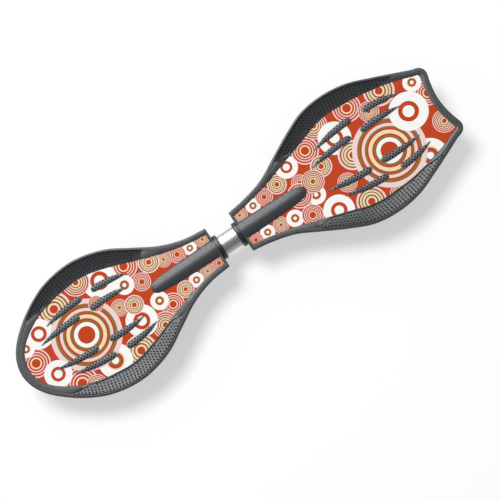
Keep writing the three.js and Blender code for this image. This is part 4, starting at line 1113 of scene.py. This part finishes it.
class BOARD_OT_forks(BoardOperator, bpy.types.Operator):
    """Model the caster forks, axles and axle nuts"""
    bl_idname = "board.forks"
    bl_label = "Forks"

    def execute(self, context):
        for end in CASTERS:
            body, place = f"{end}_fork", wheel_place(end)
            finish_piece(f"{end}_pressed_fork", rounded_copy(body, FORK_ROUND_MM), body, "zinc_steel", [body],
                         flats=True)
            finish_piece(f"{end}_axle_bolt", placed(hex_bolt(**AXLE), place), body, "bright_steel",
                         [f"{end}_axle"])
            finish_piece(f"{end}_axle_lock_nut", placed(lock_nut(**AXLE_NUT), place), body, "bright_steel",
                         [f"{end}_axle_nut"])
        return {"FINISHED"}


class BOARD_OT_wheels(BoardOperator, bpy.types.Operator):
    """Turn the tyres, cored hubs and wheel bearings"""
    bl_idname = "board.wheels"
    bl_label = "Wheels"

    def execute(self, context):
        half = HALF_TYRE_PROFILE_MM
        for end in CASTERS:
            body, place = f"{end}_wheel", wheel_place(end)
            tyre = turned([(r, -y) for r, y in reversed(half)] + list(half), LARGE_SIDES)
            finish_piece(f"{end}_urethane_tyre", placed(tyre, place), body, "wheel_urethane", [f"{end}_tyre"],
                         smooth_degrees=50)
            finish_piece(f"{end}_cored_hub", placed(cored_hub(), place), body, "hub_plastic", [f"{end}_hub"])
            for part, angle in (("left", 0), ("right", math.pi)):
                turn = Matrix.Rotation(angle, 4, "X")
                lift = Matrix.Translation((0, 0, BEARING_FROM_MM * MM))
                bearing = placed(turned(BEARING_PROFILE_MM, SMALL_SIDES), place @ turn @ lift)
                finish_piece(f"{end}_shielded_bearing_{part}", bearing, body, "bright_steel",
                             [f"{end}_bearing_{part}"])
            dress(f"{end}_bearing_spacer", "bright_steel")
        return {"FINISHED"}


# Camera: nearly straight down from the board's left side, turned so that the board runs from lower left to
# upper right, with the frame shifted off the lens axis.
VIEW_ROLL = math.radians(-33.4)
VIEW_ELEVATION = math.radians(82)
VIEW_DISTANCE = 2.39
VIEW_SHIFT = (0.0411, -0.0195)
LENS_MM = 100.5
SENSOR_MM = 36.0
AIM = Vector((0.0085, 0, 0.1))

# The key throws the short shadow to the lower right in the picture. Two cards on its side show only in
# what is glossy: one in slopes that face it, the lower one in the rims. They leave the prints alone, which
# would glare at some angles.
LIGHT_WAY = Vector((0.208, -0.978, 0))
KEY = {"elevation": math.radians(75), "distance": 3.2, "size": (0.8, 0.8), "watts": 69}
CARD = {"elevation": math.radians(56), "distance": 1.9, "size": (1.9, 0.85), "watts": 48}
RIM_CARD = {"elevation": math.radians(24), "distance": 1.7, "size": (2.0, 0.5), "watts": 40}
SKY_STRENGTH = 0.35
FLOOR_HALF = 6.0
FLOOR_COLOUR = "#f4f4f4"
# The floor is part lit paper and part glow, which keeps the shadow and lets the rest reach white.
FLOOR_GLOW_SHARE = 0.35
FLOOR_GLOW = 1.35


def area_light(name, elevation, distance, size, watts):
    """A softbox that faces the board from the light's side at an elevation."""
    lamp = bpy.data.lights.new(name, "AREA")
    lamp.shape = "RECTANGLE"
    lamp.size, lamp.size_y = size
    lamp.energy = watts
    holder = bpy.data.objects.new(name, lamp)
    bpy.context.scene.collection.objects.link(holder)
    off = LIGHT_WAY.normalized() * math.cos(elevation) + Vector((0, 0, math.sin(elevation)))
    holder.location = AIM + off * distance
    holder.rotation_euler = (-off).to_track_quat("-Z", "Y").to_euler()
    return holder


def set_floor(scene):
    """A wide sheet of pale paper under the wheels."""
    bm = bmesh.new()
    bmesh.ops.create_grid(bm, x_segments=1, y_segments=1, size=FLOOR_HALF)
    mesh = bpy.data.meshes.new("studio_floor")
    bm.to_mesh(mesh)
    bm.free()
    material = bpy.data.materials.new("studio_paper")
    material.use_nodes = True
    tree = material.node_tree
    tree.nodes.clear()
    paper = add(tree, "ShaderNodeBsdfDiffuse", {"Color": linear(FLOOR_COLOUR)})
    white = add(tree, "ShaderNodeEmission", {"Color": (1, 1, 1, 1), "Strength": FLOOR_GLOW})
    path = add(tree, "ShaderNodeLightPath")
    seen = add(tree, "ShaderNodeMath", {0: path.outputs["Is Camera Ray"], 1: path.outputs["Is Glossy Ray"]},
               operation="MAXIMUM").outputs["Value"]
    part = add(tree, "ShaderNodeMath", {0: seen, 1: FLOOR_GLOW_SHARE}, operation="MULTIPLY").outputs["Value"]
    mix = add(tree, "ShaderNodeMixShader", {0: part, 1: paper.outputs[0], 2: white.outputs[0]})
    add(tree, "ShaderNodeOutputMaterial", {"Surface": mix.outputs[0]})
    mesh.materials.append(material)
    floor = bpy.data.objects.new("studio_floor", mesh)
    scene.collection.objects.link(floor)


def set_sky(scene):
    """An even white sky, weaker as light than it looks."""
    world = bpy.data.worlds.new("studio_sky")
    world.use_nodes = True
    tree = world.node_tree
    tree.nodes.clear()
    path = add(tree, "ShaderNodeLightPath")
    seen = path.outputs["Is Camera Ray"]
    strength = add(tree, "ShaderNodeMapRange", {"Value": seen, "To Min": SKY_STRENGTH, "To Max": 1.0})
    sky = add(tree, "ShaderNodeBackground", {"Color": (1, 1, 1, 1), "Strength": strength.outputs["Result"]})
    add(tree, "ShaderNodeOutputWorld", {"Surface": sky.outputs[0]})
    scene.world = world


def set_lights():
    """The key and the two cards, which leave the prints alone."""
    key = area_light("key_softbox", **KEY)
    key.visible_glossy = False
    unlit = bpy.data.collections.new("kept_out_of_the_cards")
    for deck in DECKS:
        unlit.objects.link(bpy.data.objects[f"{deck}_printed_panel"])
    for item in unlit.collection_objects:
        item.light_linking.link_state = "EXCLUDE"
    for name, card in (("sheen_card", CARD), ("rim_card", RIM_CARD)):
        lamp = area_light(name, **card)
        lamp.visible_diffuse = False
        lamp.light_linking.receiver_collection = unlit


def set_camera(scene):
    """The camera that the photograph was taken with, as far as it could be found."""
    towards = Vector((0, math.cos(VIEW_ELEVATION), math.sin(VIEW_ELEVATION)))
    turn = Matrix.Rotation(VIEW_ROLL, 3, towards)
    right = turn @ Vector((-1, 0, 0))
    up = towards.cross(right)
    lens = bpy.data.cameras.new("photo_camera")
    lens.lens = LENS_MM
    lens.sensor_width = SENSOR_MM
    lens.shift_x, lens.shift_y = VIEW_SHIFT
    camera = bpy.data.objects.new("photo_camera", lens)
    scene.collection.objects.link(camera)
    frame_turn = Matrix((right, up, towards)).transposed().to_4x4()
    camera.matrix_world = Matrix.Translation(AIM + towards * VIEW_DISTANCE) @ frame_turn
    scene.camera = camera


class BOARD_OT_stage(BoardOperator, bpy.types.Operator):
    """Set the floor, the soft lights and the camera"""
    bl_idname = "board.stage"
    bl_label = "Stage"

    def execute(self, context):
        scene = context.scene
        set_floor(scene)
        set_sky(scene)
        set_lights()
        set_camera(scene)
        scene.view_settings.view_transform = "Standard"
        return {"FINISHED"}


class BOARD_PT_panel(bpy.types.Panel):
    """Lists the board's operators, sizes and colours"""
    bl_idname = "BOARD_PT_panel"
    bl_label = "Caster Board"
    bl_space_type = "VIEW_3D"
    bl_region_type = "UI"
    bl_category = "Caster Board"

    def draw(self, context):
        layout = self.layout
        for operator in OPERATORS:
            layout.operator(operator.bl_idname)
        for group in (context.scene.board_sizes, context.scene.board_colours):
            column = layout.column()
            for key in group.bl_rna.properties.keys():
                if key not in ("rna_type", "name"):
                    column.prop(group, key)


OPERATORS = (BOARD_OT_decks, BOARD_OT_panels, BOARD_OT_grip_ribs, BOARD_OT_grip_pips, BOARD_OT_tube,
             BOARD_OT_screws, BOARD_OT_caster_mounts, BOARD_OT_forks, BOARD_OT_wheels, BOARD_OT_stage)
CLASSES = (BoardSizes, BoardColours, *OPERATORS, BOARD_PT_panel)


def register():
    for item in CLASSES:
        bpy.utils.register_class(item)
    bpy.types.Scene.board_sizes = PointerProperty(type=BoardSizes)
    bpy.types.Scene.board_colours = PointerProperty(type=BoardColours)


def unregister():
    del bpy.types.Scene.board_colours
    del bpy.types.Scene.board_sizes
    for item in reversed(CLASSES):
        bpy.utils.unregister_class(item)


def main():
    """Builds every piece in order."""
    register()
    for operator in OPERATORS:
        group, name = operator.bl_idname.split(".")
        getattr(getattr(bpy.ops, group), name)()


if __name__ == "__main__":
    main()
